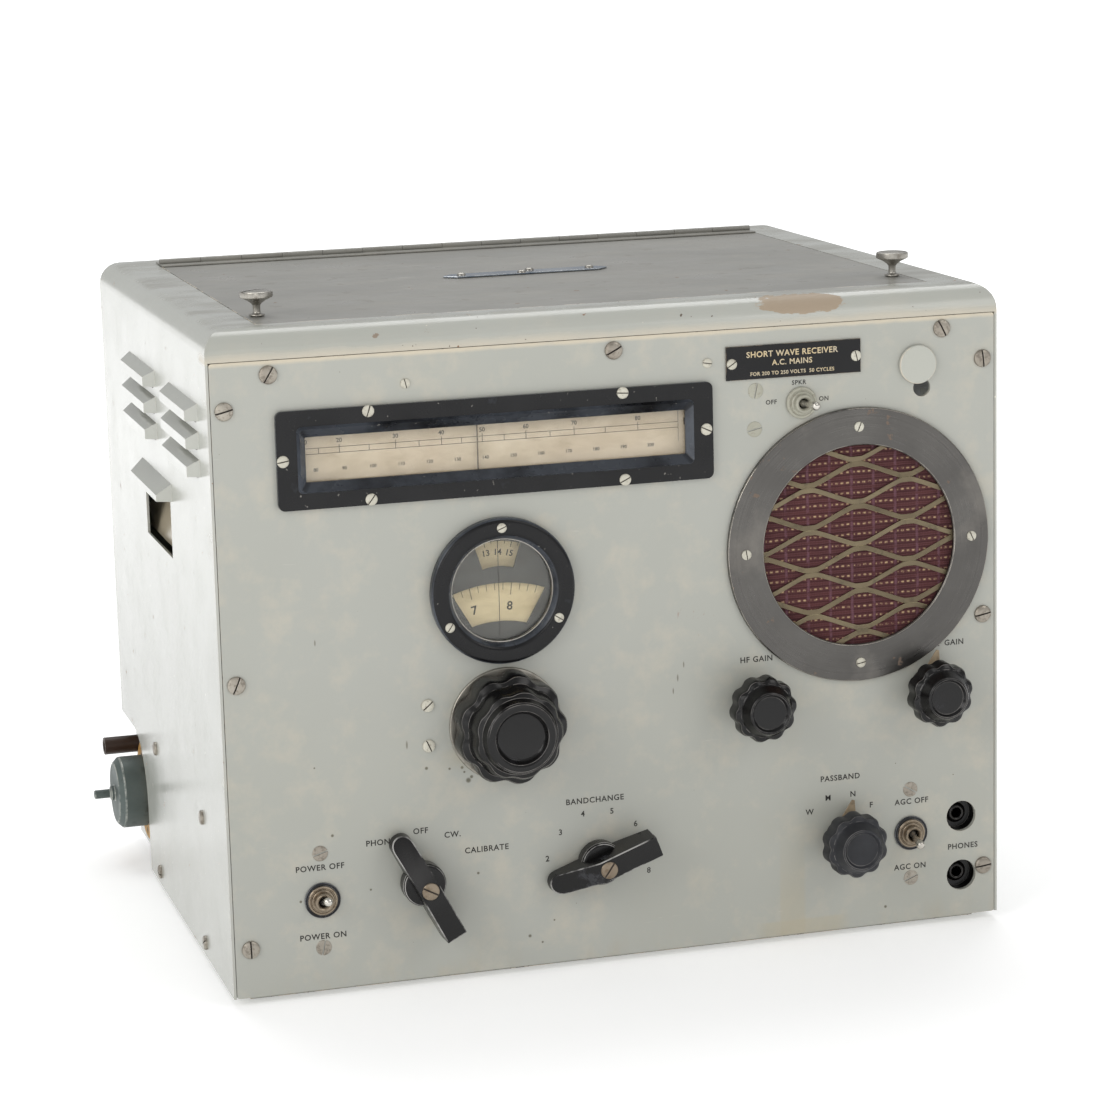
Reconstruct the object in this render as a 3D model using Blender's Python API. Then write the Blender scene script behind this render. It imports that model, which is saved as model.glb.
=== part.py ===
"""Vintage shortwave receiver in a steel bench case.

Metres, +Z up, front towards -Y. The origin is the centre of the underside of the bottom
plate. Every moving piece has its origin on the axis that it turns or slides along.
"""

from math import asin, cos, pi, radians, sin, tan

import bmesh
import bpy
from mathutils import Vector

MM = 0.001
GAP = 0.3 * MM  # between pieces that meet
RUNNING = 0.6 * MM  # round a shaft, or beside a piece that slides

# Case and front panel
CASE_WIDTH = 494 * MM
CASE_DEPTH = 385 * MM
CASE_HEIGHT = 407 * MM
CASE_BOTTOM = 5 * MM
SHEET = 1.6 * MM
BULLNOSE = 18 * MM
SIDE_RADIUS = 14 * MM
PANEL_THICK = 3 * MM
PANEL_GAP = 0.4 * MM
FLANGE = 11 * MM
BASE_FLANGE = 20 * MM
BASE_INSET = 12 * MM
FRONT = -CASE_DEPTH / 2
BACK = CASE_DEPTH / 2
LEFT = -CASE_WIDTH / 2
INNER_X = CASE_WIDTH / 2 - SHEET
PANEL_X = INNER_X - PANEL_GAP
PANEL_TOP = CASE_HEIGHT - BULLNOSE
PANEL_BACK = FRONT + PANEL_THICK
FLANGE_FRONT = PANEL_BACK + GAP
FLANGE_BACK = FLANGE_FRONT + SHEET

# Lid and its hinge
LID_SIDE = 36 * MM  # from the case's side to the lid's edge
LID_FRONT = FRONT + 26 * MM
LID_BACK = BACK - 33 * MM
LID_SEAM = 0.6 * MM
LEDGE = 14 * MM
LID_X = CASE_WIDTH / 2 - LID_SIDE
LID_TOP = CASE_HEIGHT
LID_UNDER = LID_TOP - SHEET
HINGE_R = 2 * MM
HINGE_PIN_R = 1 * MM
HINGE_LEAF = 0.8 * MM
HINGE_LEAF_WIDTH = 11 * MM
HINGE_Z = LID_TOP + GAP + HINGE_R
KNUCKLES = 15
STRAP_LENGTH = 110 * MM
STRAP_WIDTH = 15 * MM
STRAP_THICK = 1 * MM
RIVET_R = 3 * MM
STRAP_RIVETS = ((-43 * MM, 0), (-4 * MM, -5 * MM), (4 * MM, 5 * MM), (43 * MM, 0))
STRAP_DEPTH = 190 * MM  # from the front to the strap's middle
SCREW_INSET = 8 * MM
SCREW_BACK = 36 * MM
SCREW_HEAD_R = 10 * MM
SCREW_HEIGHT = 16 * MM
SCREW_R = 3 * MM

# Side vents and hand-holds
LOUVRE_LENGTH = 94 * MM
LOUVRE_OUT = 7 * MM
LOUVRE_HEIGHT = 11 * MM
LOUVRE_SHOULDER = 5 * MM  # height of the sloping upper part
LOUVRE_END = 5 * MM  # by which the ends slant inwards
LOUVRE_PITCH = 16.7 * MM
LOUVRE_TOP = 362 * MM
LOUVRE_STARTS = (32 * MM, 178 * MM)  # behind the front
REAR_SLOTS_TOP = CASE_HEIGHT - 120 * MM
HOLD_START = 135 * MM
HOLD_LENGTH = 105 * MM
HOLD_BOTTOM = 248 * MM
HOLD_TOP = 285 * MM
HOLD_HOOD = 12 * MM
HOLD_LIP = 4 * MM
HOLD_OUT = 9 * MM

# Connectors in the rear left corner
SOCKET_BACK = 50 * MM  # from the rear to the socket's centre
SOCKET_Z = 48 * MM
SOCKET_R = 34.5 * MM
SOCKET_THICK = 3 * MM
NOTCH_MARGIN = 11 * MM
RECESS = 9 * MM
PLUG_R = 24.5 * MM
PLUG_LENGTH = 21 * MM
PLUG_TAIL_R = 3 * MM
PLUG_TAIL = 14 * MM
SPIGOT_R = 17 * MM
SPIGOT_LENGTH = 12 * MM
TERMINAL_R = 6 * MM
TERMINAL_LENGTH = 25 * MM
TERMINAL_CLEAR = 3.6 * MM  # from the socket's flange
TERMINAL_ANGLE = radians(33)  # above the socket's centre, towards the rear
TERMINAL_REACH = SOCKET_R + TERMINAL_CLEAR + TERMINAL_R
TERMINAL_BACK = SOCKET_BACK - TERMINAL_REACH * cos(TERMINAL_ANGLE)
TERMINAL_Z = SOCKET_Z + TERMINAL_REACH * sin(TERMINAL_ANGLE)

# Tuning dial, a long window with a cursor on a slide
DIAL_X = -73.6 * MM
DIAL_Z = 329.3 * MM
DIAL_W = 268.4 * MM
DIAL_H = 58.9 * MM
DIAL_STEP_W = 244 * MM
DIAL_STEP_H = 39.6 * MM
WINDOW_W = 234 * MM
WINDOW_H = 27 * MM
DIAL_FLANGE = 3 * MM
DIAL_STEP = 6.5 * MM
GLASS = 2 * MM
CURSOR_X = -85 * MM
CURSOR_WIRE = 0.5 * MM
CARD_W = 262 * MM
CARD_H = 46 * MM
CARD_THICK = 1 * MM
CARD_BACK = 6 * MM  # from the panel's front to the card's face

# Tuning drive: knob, logging disc and turns disc behind the round window
TUNE_X = -74 * MM
TUNE_Z = 159 * MM
LOG_R = 44.5 * MM
LOG_GLASS_R = 31.5 * MM
LOG_BEZEL = 7 * MM
LOG_DISC_R = 86 * MM
LOG_DISC_BACK = 10 * MM
TURNS_R = 47 * MM
TURNS_DROP = 18 * MM  # from the window's centre to the turns disc's axis
TURNS_BACK = 14 * MM
DISC_THICK = 1.2 * MM
MASK_BACK = 6.5 * MM
TUNE_SHAFT_R = 3.2 * MM
TUNE_DISC_R = 35 * MM
TUNE_SKIRT_R = 34.2 * MM
TUNE_CAP_R = 28.3 * MM
TUNE_HEIGHT = 39 * MM
TUNE_FOOT = 3 * MM
TUNE_LOBES = 9
LOG_CLEAR = 4 * MM  # between the tuning knob and the logging dial above it
LOG_Z = TUNE_Z + TUNE_SKIRT_R + LOG_CLEAR + LOG_R

# Smaller knobs
RING_THICK = 3.2 * MM
KNOB_R = 20.5 * MM
KNOB_HEIGHT = 24 * MM
KNOB_STAND = 13 * MM  # a narrower neck holds the lobed skirt this much farther out
KNOB_NECK_R = 13 * MM
KNOB_LOBES = 10
KNOB_FOOT = RING_THICK + 2 * RUNNING  # the pointers turn above the loudspeaker's ring
POINTER_THICK = 1 * MM
SHAFT_R = 3.2 * MM
SHAFT_IN = 14 * MM  # behind the panel's back
BUSH_R = 4.8 * MM
POINTER_REACH = 24 * MM
HF_GAIN = (83 * MM, 158.5 * MM)
LF_GAIN = (199 * MM, 157 * MM)
PASSBAND = (142 * MM, 66 * MM)
FUNCTION = (-130 * MM, 67 * MM)
BANDCHANGE = (-18.3 * MM, 68 * MM)
POINTER_TILT = 15  # degrees clockwise of upright
BAR_LENGTH = 35 * MM  # from the spindle to either end
BAR_WIDTH = 14 * MM
BAR_HEIGHT = 26 * MM
BAR_HUB_R = 13.4 * MM
FUNCTION_ANGLE = 117  # degrees, counter-clockwise from the right
BANDCHANGE_ANGLE = 200
POT_R = 15 * MM
POT_LENGTH = 16 * MM
WAFER_R = 17.5 * MM
WAFER_LENGTH = 34 * MM

# Toggle switches, jacks and panel trim
POWER = (-190.7 * MM, 61.1 * MM)
AGC = (188.2 * MM, 62.6 * MM)
SPEAKER_SWITCH = (118.2 * MM, 341.6 * MM)
TOGGLE_RING_R = 11 * MM
TOGGLE_NUT_R = 9.8 * MM
TOGGLE_BUSH_R = 5.8 * MM
TOGGLE_BUSH_OUT = 7 * MM
TOGGLE_THROW = 32
LEVER_LENGTH = 15 * MM
LEVER_PIVOT = 4 * MM  # in front of the panel
JACKS = ((222.6 * MM, 69.9 * MM), (222.6 * MM, 31.3 * MM))
JACK_HOLE_R = 9.9 * MM
JACK_BORE_R = 3.3 * MM
NAMEPLATE = (113.4 * MM, 368.3 * MM)
NAMEPLATE_W = 86.7 * MM
NAMEPLATE_H = 20.6 * MM
COVER_PIVOT = (198.5 * MM, 355.9 * MM)
COVER_OFFSET = (-4.5 * MM, 4.3 * MM)
COVER_R = 12 * MM
TRIMMER = (197.1 * MM, 345.5 * MM)
TRIMMER_R = 5.65 * MM

# Loudspeaker
SPEAKER = (154.5 * MM, 250.6 * MM)
RING_R = 85.7 * MM
RING_HOLE_R = 62.5 * MM
SPEAKER_HOLE_R = 66 * MM
GRILLE_THICK = 1.2 * MM
DIAMOND_W = 61 * MM
DIAMOND_H = 26 * MM
STRAND = 2.8 * MM
CLOTH_THICK = 0.8 * MM
BASKET_R = 78 * MM
BASKET_DEPTH = 44 * MM
MAGNET_R = 32 * MM
MAGNET_LENGTH = 24 * MM

# Chassis and what stands on it
DECK_Z = 97 * MM
CHASSIS_FRONT = FRONT + 64 * MM
CHASSIS_BACK = BACK - BASE_FLANGE - 6 * MM
CHASSIS_LEFT = LEFT + 52 * MM
CHASSIS_RIGHT = CASE_WIDTH / 2 - 22 * MM
GEARBOX_W = 56 * MM
GEARBOX_LENGTH = 40 * MM
CAPACITOR_W = 76 * MM
CAPACITOR_LENGTH = 96 * MM
STATOR_PLATES = 4
ROTOR_R = 30 * MM

materials = {}


def clear_scene():
    for obj in list(bpy.data.objects):
        bpy.data.objects.remove(obj, do_unlink=True)


def material(name, colour, roughness, metallic=0.0, alpha=1.0):
    made = bpy.data.materials.new(name)
    made.use_nodes = True
    shader = made.node_tree.nodes["Principled BSDF"]
    shader.inputs["Base Color"].default_value = (*colour, 1)
    shader.inputs["Roughness"].default_value = roughness
    shader.inputs["Metallic"].default_value = metallic
    shader.inputs["Alpha"].default_value = alpha
    made.diffuse_color = (*colour, alpha)
    materials[name] = made


def make_materials():
    material("grey_paint", (0.46, 0.47, 0.42), 0.35)
    material("inner_steel", (0.30, 0.30, 0.28), 0.5, 1.0)
    material("black_paint", (0.012, 0.012, 0.014), 0.3)
    material("bakelite", (0.01, 0.01, 0.011), 0.25)
    material("glass", (0.9, 0.93, 0.92), 0.05, 0.0, 0.3)
    material("card", (0.70, 0.60, 0.48), 0.7)
    material("nickel", (0.60, 0.57, 0.52), 0.3, 1.0)
    material("brass", (0.55, 0.42, 0.22), 0.4, 1.0)
    material("aluminium", (0.55, 0.55, 0.54), 0.4, 1.0)
    material("cloth", (0.14, 0.05, 0.05), 0.95)
    material("paper", (0.10, 0.09, 0.08), 0.9)
    material("yellow_paint", (0.65, 0.33, 0.03), 0.5)
    material("grey_plug", (0.12, 0.13, 0.12), 0.55)
    material("brown_moulding", (0.07, 0.045, 0.03), 0.45)
    material("blued_steel", (0.13, 0.15, 0.19), 0.3, 1.0)


def place(name, bm, look, at=(0, 0, 0), smooth=False):
    """Put a finished bmesh into the scene as one object."""
    bmesh.ops.recalc_face_normals(bm, faces=bm.faces)
    mesh = bpy.data.meshes.new(name)
    bm.to_mesh(mesh)
    bm.free()
    obj = bpy.data.objects.new(name, mesh)
    obj.location = at
    if look:
        mesh.materials.append(materials[look])
    if smooth:
        mesh.shade_smooth()
    bpy.context.scene.collection.objects.link(obj)
    return obj


def extruded(bm, outline, along, low, high):
    """Add a prism to bm: a closed outline on two axes, carried along the third."""
    first, second, third = {"X": (1, 2, 0), "Y": (0, 2, 1), "Z": (0, 1, 2)}[along]
    corners = []
    for a, b in outline:
        corner = [0, 0, 0]
        corner[first], corner[second], corner[third] = a, b, low
        corners.append(bm.verts.new(corner))
    face = bm.faces.new(corners)
    swept = bmesh.ops.extrude_face_region(bm, geom=[face])["geom"]
    step = [0, 0, 0]
    step[third] = high - low
    moved = [item for item in swept if isinstance(item, bmesh.types.BMVert)]
    bmesh.ops.translate(bm, verts=moved, vec=step)


def prism(name, outline, along, low, high, look=None, at=(0, 0, 0)):
    bm = bmesh.new()
    extruded(bm, outline, along, low, high)
    return place(name, bm, look, at)


def prisms(name, outlines, along, low, high, look=None, at=(0, 0, 0)):
    """Several prisms that don't touch, as one object for a Boolean to use."""
    bm = bmesh.new()
    for outline in outlines:
        extruded(bm, outline, along, low, high)
    return place(name, bm, look, at)


def rectangle(left, bottom, right, top):
    return [(left, bottom), (right, bottom), (right, top), (left, top)]


def box(name, low, high, look=None, at=(0, 0, 0)):
    return prism(name, rectangle(low[0], low[1], high[0], high[1]), "Z", low[2], high[2], look, at)


def arc(centre, radius, start, end, steps):
    """Points of an arc, with angles in degrees counter-clockwise."""
    turn = (end - start) / steps
    angles = [radians(start + turn * i) for i in range(steps + 1)]
    return [(centre[0] + radius * cos(a), centre[1] + radius * sin(a)) for a in angles]


def circle(radius, steps=32, centre=(0, 0)):
    return arc(centre, radius, 0, 360, steps)[:-1]


def rounded(left, bottom, right, top, radii, steps=6):
    """A rectangle with a radius at each corner: bottom left, bottom right, top right, top left."""
    outline = []
    corners = ((left, bottom, 180), (right, bottom, 270), (right, top, 0), (left, top, 90))
    for (x, y, start), radius in zip(corners, radii):
        if radius == 0:
            outline.append((x, y))
            continue
        inward_x = radius if x == left else -radius
        inward_y = radius if y == bottom else -radius
        outline += arc((x + inward_x, y + inward_y), radius, start, start + 90, steps)
    return outline


def scallops(radius, lobes, depth, steps=6):
    """The outline of a scalloped knob: rounded lobes with hollows between them."""
    count = lobes * steps
    return [
        (
            (radius - depth * (0.5 - 0.5 * cos(2 * pi * i / steps)) ** 1.5) * cos(2 * pi * i / count),
            (radius - depth * (0.5 - 0.5 * cos(2 * pi * i / steps)) ** 1.5) * sin(2 * pi * i / count),
        )
        for i in range(count)
    ]


def turned(outline, degrees):
    """An outline turned about its origin, counter-clockwise."""
    c, s = cos(radians(degrees)), sin(radians(degrees))
    return [(a * c - b * s, a * s + b * c) for a, b in outline]


def lathe(name, profile, toward, look=None, at=(0, 0, 0), steps=32):
    """Turn a profile of (radius, height) points about the line from at towards toward."""
    bm = bmesh.new()
    verts = [bm.verts.new((radius, 0, height)) for radius, height in profile]
    edges = [bm.edges.new(pair) for pair in zip(verts, verts[1:])]
    if min(radius for radius, _ in profile) > 0:
        edges.append(bm.edges.new((verts[-1], verts[0])))
    bmesh.ops.spin(bm, geom=verts + edges, cent=(0, 0, 0), axis=(0, 0, 1), angle=2 * pi, steps=steps)
    bmesh.ops.remove_doubles(bm, verts=bm.verts, dist=0.01 * MM)
    obj = place(name, bm, look, at, smooth=True)
    obj.rotation_mode = "QUATERNION"
    obj.rotation_quaternion = Vector(toward).to_track_quat("Z", "Y")
    return obj


def cylinder(name, radius, low, high, toward, look=None, at=(0, 0, 0), steps=32):
    profile = [(0, low), (radius, low), (radius, high), (0, high)]
    return lathe(name, profile, toward, look, at, steps)


def tube(name, outer, inner, low, high, toward, look=None, at=(0, 0, 0), steps=32):
    profile = [(inner, low), (outer, low), (outer, high), (inner, high)]
    return lathe(name, profile, toward, look, at, steps)


def boolean(target, operation, other):
    step = target.modifiers.new(operation.lower(), "BOOLEAN")
    step.operation = operation
    step.object = other
    other.hide_render = True
    other.display_type = "WIRE"


def cut(target, *cutters):
    for cutter in cutters:
        boolean(target, "DIFFERENCE", cutter)


def join(target, *others):
    for other in others:
        boolean(target, "UNION", other)


def keep_common(target, other):
    boolean(target, "INTERSECT", other)


OUT = (0, -1, 0)
UP = (0, 0, 1)
SIDEWAYS = (-1, 0, 0)


def on_panel(place_xz, out=0):
    """A world point on the panel's face, or in front of it by out."""
    return (place_xz[0], FRONT - out, place_xz[1])


def case_form(name, inset, front, back):
    """The outer form of the case, or the space inside it when inset by the sheet."""
    half = CASE_WIDTH / 2 - inset
    top = CASE_HEIGHT - inset
    low = CASE_BOTTOM + inset
    side_r = SIDE_RADIUS - inset
    front_view = rounded(-half, low, half, top, (0, 0, side_r, side_r))
    form = prism(name, front_view, "Y", front, back, None if inset else "grey_paint")
    nose = arc((FRONT + BULLNOSE, PANEL_TOP), BULLNOSE - inset, 90, 180, 8)
    side_view = [(BACK + FLANGE, top), *nose, (FRONT + inset, 0), (BACK + FLANGE, 0)]
    keep_common(form, prism(name + "_side_view", side_view, "X", -CASE_WIDTH, CASE_WIDTH))
    return form


def side_outlines(side, points):
    """Outlines given for the left side, as (distance out, height), on either side."""
    return [[(side * (CASE_WIDTH / 2 + out), z) for out, z in outline] for outline in points]


def slant_ends(hoods, side, low, high, out):
    """Slants the two ends of a row of hoods, as seen from above."""
    face, beyond = side * CASE_WIDTH / 2, side * (CASE_WIDTH / 2 + out + FLANGE)
    run = LOUVRE_END * (out + FLANGE) / out
    for end, inward in ((low, 1), (high, -1)):
        outline = [(face, end), (beyond, end + inward * run), (beyond, end - inward * run), (face, end - inward * run)]
        cut(hoods, prism(f"{hoods.name}_end_{inward}", outline, "Z", 0, CASE_HEIGHT))


def add_side_vents(shell):
    """Pressed louvres and a hooded hand-hold on each side."""
    hoods, hollows = [], []
    for row in range(3):
        top = LOUVRE_TOP - row * LOUVRE_PITCH
        low = top - LOUVRE_HEIGHT
        shoulder = top - LOUVRE_SHOULDER
        hoods.append([(-SHEET / 2, top), (LOUVRE_OUT, shoulder), (LOUVRE_OUT, low), (-SHEET / 2, low)])
        hollows.append(
            [
                (-2 * SHEET, top - 2 * SHEET),
                (0, top - 2 * SHEET),
                (LOUVRE_OUT - SHEET, shoulder - SHEET / 2),
                (LOUVRE_OUT - SHEET, low - SHEET),
                (-2 * SHEET, low - SHEET),
            ]
        )
    hold_hood = [
        (-SHEET / 2, HOLD_TOP + HOLD_HOOD),
        (HOLD_OUT, HOLD_TOP + HOLD_LIP),
        (HOLD_OUT, HOLD_TOP),
        (-SHEET / 2, HOLD_TOP),
    ]
    hold_hollow = [
        (-2 * SHEET, HOLD_TOP + HOLD_HOOD - 2 * SHEET),
        (0, HOLD_TOP + HOLD_HOOD - 2 * SHEET),
        (HOLD_OUT - SHEET, HOLD_TOP + HOLD_LIP - SHEET / 2),
        (HOLD_OUT - SHEET, HOLD_TOP - SHEET),
        (SHEET, HOLD_TOP - SHEET),
        (SHEET, HOLD_BOTTOM),
        (-2 * SHEET, HOLD_BOTTOM),
    ]
    hold_low = FRONT + HOLD_START
    hold_high = hold_low + HOLD_LENGTH
    for side, word in ((-1, "left"), (1, "right")):
        for start in LOUVRE_STARTS:
            low = FRONT + start
            high = low + LOUVRE_LENGTH
            label = f"{word}_louvres_{round(start / MM)}"
            louvres = prisms(label, side_outlines(side, hoods), "Y", low, high)
            slant_ends(louvres, side, low, high, LOUVRE_OUT)
            join(shell, louvres)
            hollow = side_outlines(side, hollows)
            inner = LOUVRE_END + SHEET
            cut(shell, prisms(label + "_hollow", hollow, "Y", low + inner, high - inner))
        hood, hollow = side_outlines(side, [hold_hood, hold_hollow])
        hold = prism(word + "_hold_hood", hood, "Y", hold_low, hold_high)
        slant_ends(hold, side, hold_low, hold_high, HOLD_OUT)
        join(shell, hold)
        upper = prism(word + "_hold_hollow", hollow, "Y", hold_low + inner, hold_high - inner)
        cut(shell, upper)


def notch_outline(clearance=0):
    """The rear left cut-out in the case's side, concentric with the mains socket, on Y and Z."""
    centre = (BACK - SOCKET_BACK, SOCKET_Z)
    radius = SOCKET_R + NOTCH_MARGIN - clearance
    beyond = BACK + BASE_FLANGE
    edge = arc(centre, radius, 90, 180, 8)
    return [(beyond, SOCKET_Z + radius), *edge, (centre[0] - radius, -CASE_BOTTOM), (beyond, -CASE_BOTTOM)]


def build_case():
    shell = case_form("cabinet_shell", 0, FRONT, BACK)
    cut(shell, case_form("case_space", SHEET, FLANGE_BACK, BACK + FLANGE))
    over = CASE_WIDTH
    opening_x = INNER_X + SHEET - FLANGE
    cut(
        shell,
        box("panel_recess", (-INNER_X, FRONT - FLANGE, -over), (INNER_X, FLANGE_FRONT, PANEL_TOP + PANEL_GAP)),
        box(
            "front_opening",
            (-opening_x, FRONT - FLANGE, CASE_BOTTOM + FLANGE),
            (opening_x, FRONT + FLANGE, PANEL_TOP - FLANGE - 2 * MM),
        ),
        box(
            "base_opening",
            (-CASE_WIDTH / 2 + BASE_FLANGE, FRONT + BASE_FLANGE, -CASE_BOTTOM),
            (CASE_WIDTH / 2 - BASE_FLANGE, BACK + FLANGE, 2 * CASE_BOTTOM),
        ),
    )
    rim = box(
        "lid_ledge",
        (-LID_X - LEDGE / 2, LID_FRONT - LEDGE / 2, LID_UNDER - GAP - SHEET),
        (LID_X + LEDGE / 2, LID_BACK + LEDGE / 2, CASE_HEIGHT - SHEET / 2),
    )
    join(shell, rim)
    recess = LID_SEAM
    cut(
        shell,
        box(
            "lid_recess",
            (-LID_X - recess, LID_FRONT - recess, LID_UNDER - GAP),
            (LID_X + recess, LID_BACK + recess, CASE_HEIGHT + FLANGE),
        ),
        box(
            "lid_opening",
            (-LID_X + LEDGE, LID_FRONT + LEDGE, LID_UNDER - FLANGE),
            (LID_X - LEDGE, LID_BACK - LEDGE, CASE_HEIGHT + FLANGE),
        ),
    )
    for side in (-1, 1):
        hole_at = (side * (LID_X - SCREW_INSET), LID_FRONT + SCREW_BACK, LID_UNDER)
        cut(shell, cylinder(f"ledge_hole_{side}", SCREW_R + 2 * RUNNING, -FLANGE, FLANGE, UP, at=hole_at, steps=20))
    add_side_vents(shell)
    notch_end = LEFT + BASE_FLANGE + FLANGE
    cut(shell, prism("corner_notch", notch_outline(), "X", LEFT - FLANGE, notch_end))

    plate_x = CASE_WIDTH / 2 - BASE_INSET
    plate_low, plate_high = FRONT + BASE_INSET, BACK - BASE_INSET
    plate = box("bottom_plate", (-plate_x, plate_low, 0), (plate_x, plate_high, CASE_BOTTOM - GAP), "grey_paint")
    rim_width = BASE_FLANGE - BASE_INSET
    pan_low = (-plate_x + rim_width, plate_low + rim_width, SHEET)
    pan_high = (plate_x - rim_width, plate_high - rim_width, 2 * CASE_BOTTOM)
    cut(plate, box("bottom_pan", pan_low, pan_high))
    keep_x = CASE_WIDTH / 2 - BASE_INSET
    notch_start = BACK - SOCKET_BACK - SOCKET_R - NOTCH_MARGIN
    notch_box = ((-keep_x - FLANGE, notch_start, -FLANGE), (LEFT + BASE_FLANGE + FLANGE / 2, BACK, FLANGE))
    cut(plate, box("bottom_notch", *notch_box))

    build_rear_panel()


def build_rear_panel():
    """A pan set into the back of the case, with forward-turned flanges and a field of vents."""
    half = INNER_X - PANEL_GAP
    top = CASE_HEIGHT - SHEET - PANEL_GAP
    radius = SIDE_RADIUS - SHEET - PANEL_GAP
    low = CASE_BOTTOM + SHEET + PANEL_GAP
    outline = rounded(-half, low, half, top, (0, 0, radius, radius))
    depth = FLANGE - 2 * MM
    panel = prism("rear_panel", outline, "Y", BACK - depth, BACK, "grey_paint")
    inner = rounded(-half + SHEET, -low, half - SHEET, top - SHEET, (0, 0, radius - SHEET, radius - SHEET))
    cut(panel, prism("rear_pan", inner, "Y", BACK - 2 * depth, BACK - SHEET))
    slots = []
    slot_w, slot_h, slot_pitch = 60 * MM, 5 * MM, 14 * MM
    for column in (-1, 0, 1):
        for row in range(6):
            x = column * 2 * slot_w
            z = REAR_SLOTS_TOP - row * slot_pitch
            slots.append(rectangle(x - slot_w / 2, z, x + slot_w / 2, z + slot_h))
    cut(panel, prisms("rear_slots", slots, "Y", BACK - FLANGE, BACK + FLANGE))
    over = BASE_FLANGE + FLANGE + RUNNING
    notch = [(y, z + RUNNING) for y, z in notch_outline()]
    cut(panel, prism("rear_notch", notch, "X", LEFT - FLANGE, LEFT + over))


def build_front_panel():
    bottom = CASE_BOTTOM
    outline = rounded(-PANEL_X, bottom, PANEL_X, PANEL_TOP, [1.5 * MM] * 4, 2)
    panel = prism("front_panel", outline, "Y", FRONT, PANEL_BACK, "grey_paint")
    through = (FRONT - FLANGE, PANEL_BACK + FLANGE)
    window = rounded(
        DIAL_X - WINDOW_W / 2 - 2 * MM,
        DIAL_Z - WINDOW_H / 2 - 2 * MM,
        DIAL_X + WINDOW_W / 2 + 2 * MM,
        DIAL_Z + WINDOW_H / 2 + 2 * MM,
        [2 * MM] * 4,
        2,
    )
    holes = [window]
    round_holes = [
        ((TUNE_X, LOG_Z), LOG_GLASS_R + 1.5 * MM, 40),
        ((TUNE_X, TUNE_Z), TUNE_SHAFT_R + RUNNING, 16),
        (SPEAKER, SPEAKER_HOLE_R, 56),
        (TRIMMER, TRIMMER_R, 20),
        (COVER_PIVOT, 2 * MM, 12),
    ]
    round_holes += [(spot, BUSH_R + GAP, 16) for spot in (HF_GAIN, LF_GAIN, PASSBAND, FUNCTION, BANDCHANGE)]
    round_holes += [(spot, TOGGLE_BUSH_R + GAP, 16) for spot in (POWER, AGC, SPEAKER_SWITCH)]
    round_holes += [(spot, JACK_HOLE_R, 24) for spot in JACKS]
    holes += [circle(radius, steps, spot) for spot, radius, steps in round_holes]
    cut(panel, prisms("panel_holes", holes, "Y", *through))


def framed(name, width, height, radius, window_w, window_h, low, high, look, at):
    outer = rounded(-width / 2, -height / 2, width / 2, height / 2, [radius] * 4, 3)
    frame = prism(name, outer, "Y", low, high, look, at)
    inner = rounded(-window_w / 2, -window_h / 2, window_w / 2, window_h / 2, [1.5 * MM] * 4, 2)
    cut(frame, prism(name + "_window", inner, "Y", low - FLANGE, high + FLANGE, None, at))
    return frame


def build_dial():
    at = on_panel((DIAL_X, DIAL_Z))
    bezel = framed(
        "dial_bezel", DIAL_W, DIAL_H, 4 * MM, WINDOW_W, WINDOW_H, -DIAL_FLANGE, -GAP, "black_paint", at
    )
    step = framed(
        "dial_step", DIAL_STEP_W, DIAL_STEP_H, 3 * MM, WINDOW_W, WINDOW_H, -DIAL_STEP, -DIAL_FLANGE / 2, None, at
    )
    join(bezel, step)
    glass_w, glass_h = WINDOW_W + 4 * MM - 2 * GAP, WINDOW_H + 4 * MM - 2 * GAP
    pane = rounded(-glass_w / 2, -glass_h / 2, glass_w / 2, glass_h / 2, [2 * MM] * 4, 2)
    prism("dial_glass", pane, "Y", GAP, GAP + GLASS, "glass", at)
    card = rectangle(-CARD_W / 2, -CARD_H / 2, CARD_W / 2, CARD_H / 2)
    prism("scale_plate", card, "Y", CARD_BACK, CARD_BACK + CARD_THICK, "card", at)

    cursor_at = (CURSOR_X, FRONT + PANEL_THICK, DIAL_Z)
    wire_low = RUNNING
    wire = prism(
        "dial_cursor",
        rectangle(-CURSOR_WIRE / 2, -CARD_H / 2, CURSOR_WIRE / 2, CARD_H / 2 + 3 * MM),
        "Y",
        wire_low,
        wire_low + 2 * CURSOR_WIRE,
        "black_paint",
        cursor_at,
    )
    carriage = (
        (-8 * MM, wire_low, CARD_H / 2 + RUNNING),
        (8 * MM, CARD_BACK + 2 * MM, CARD_H / 2 + 8 * MM),
    )
    join(wire, box("cursor_carriage", *carriage, at=cursor_at))


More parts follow.
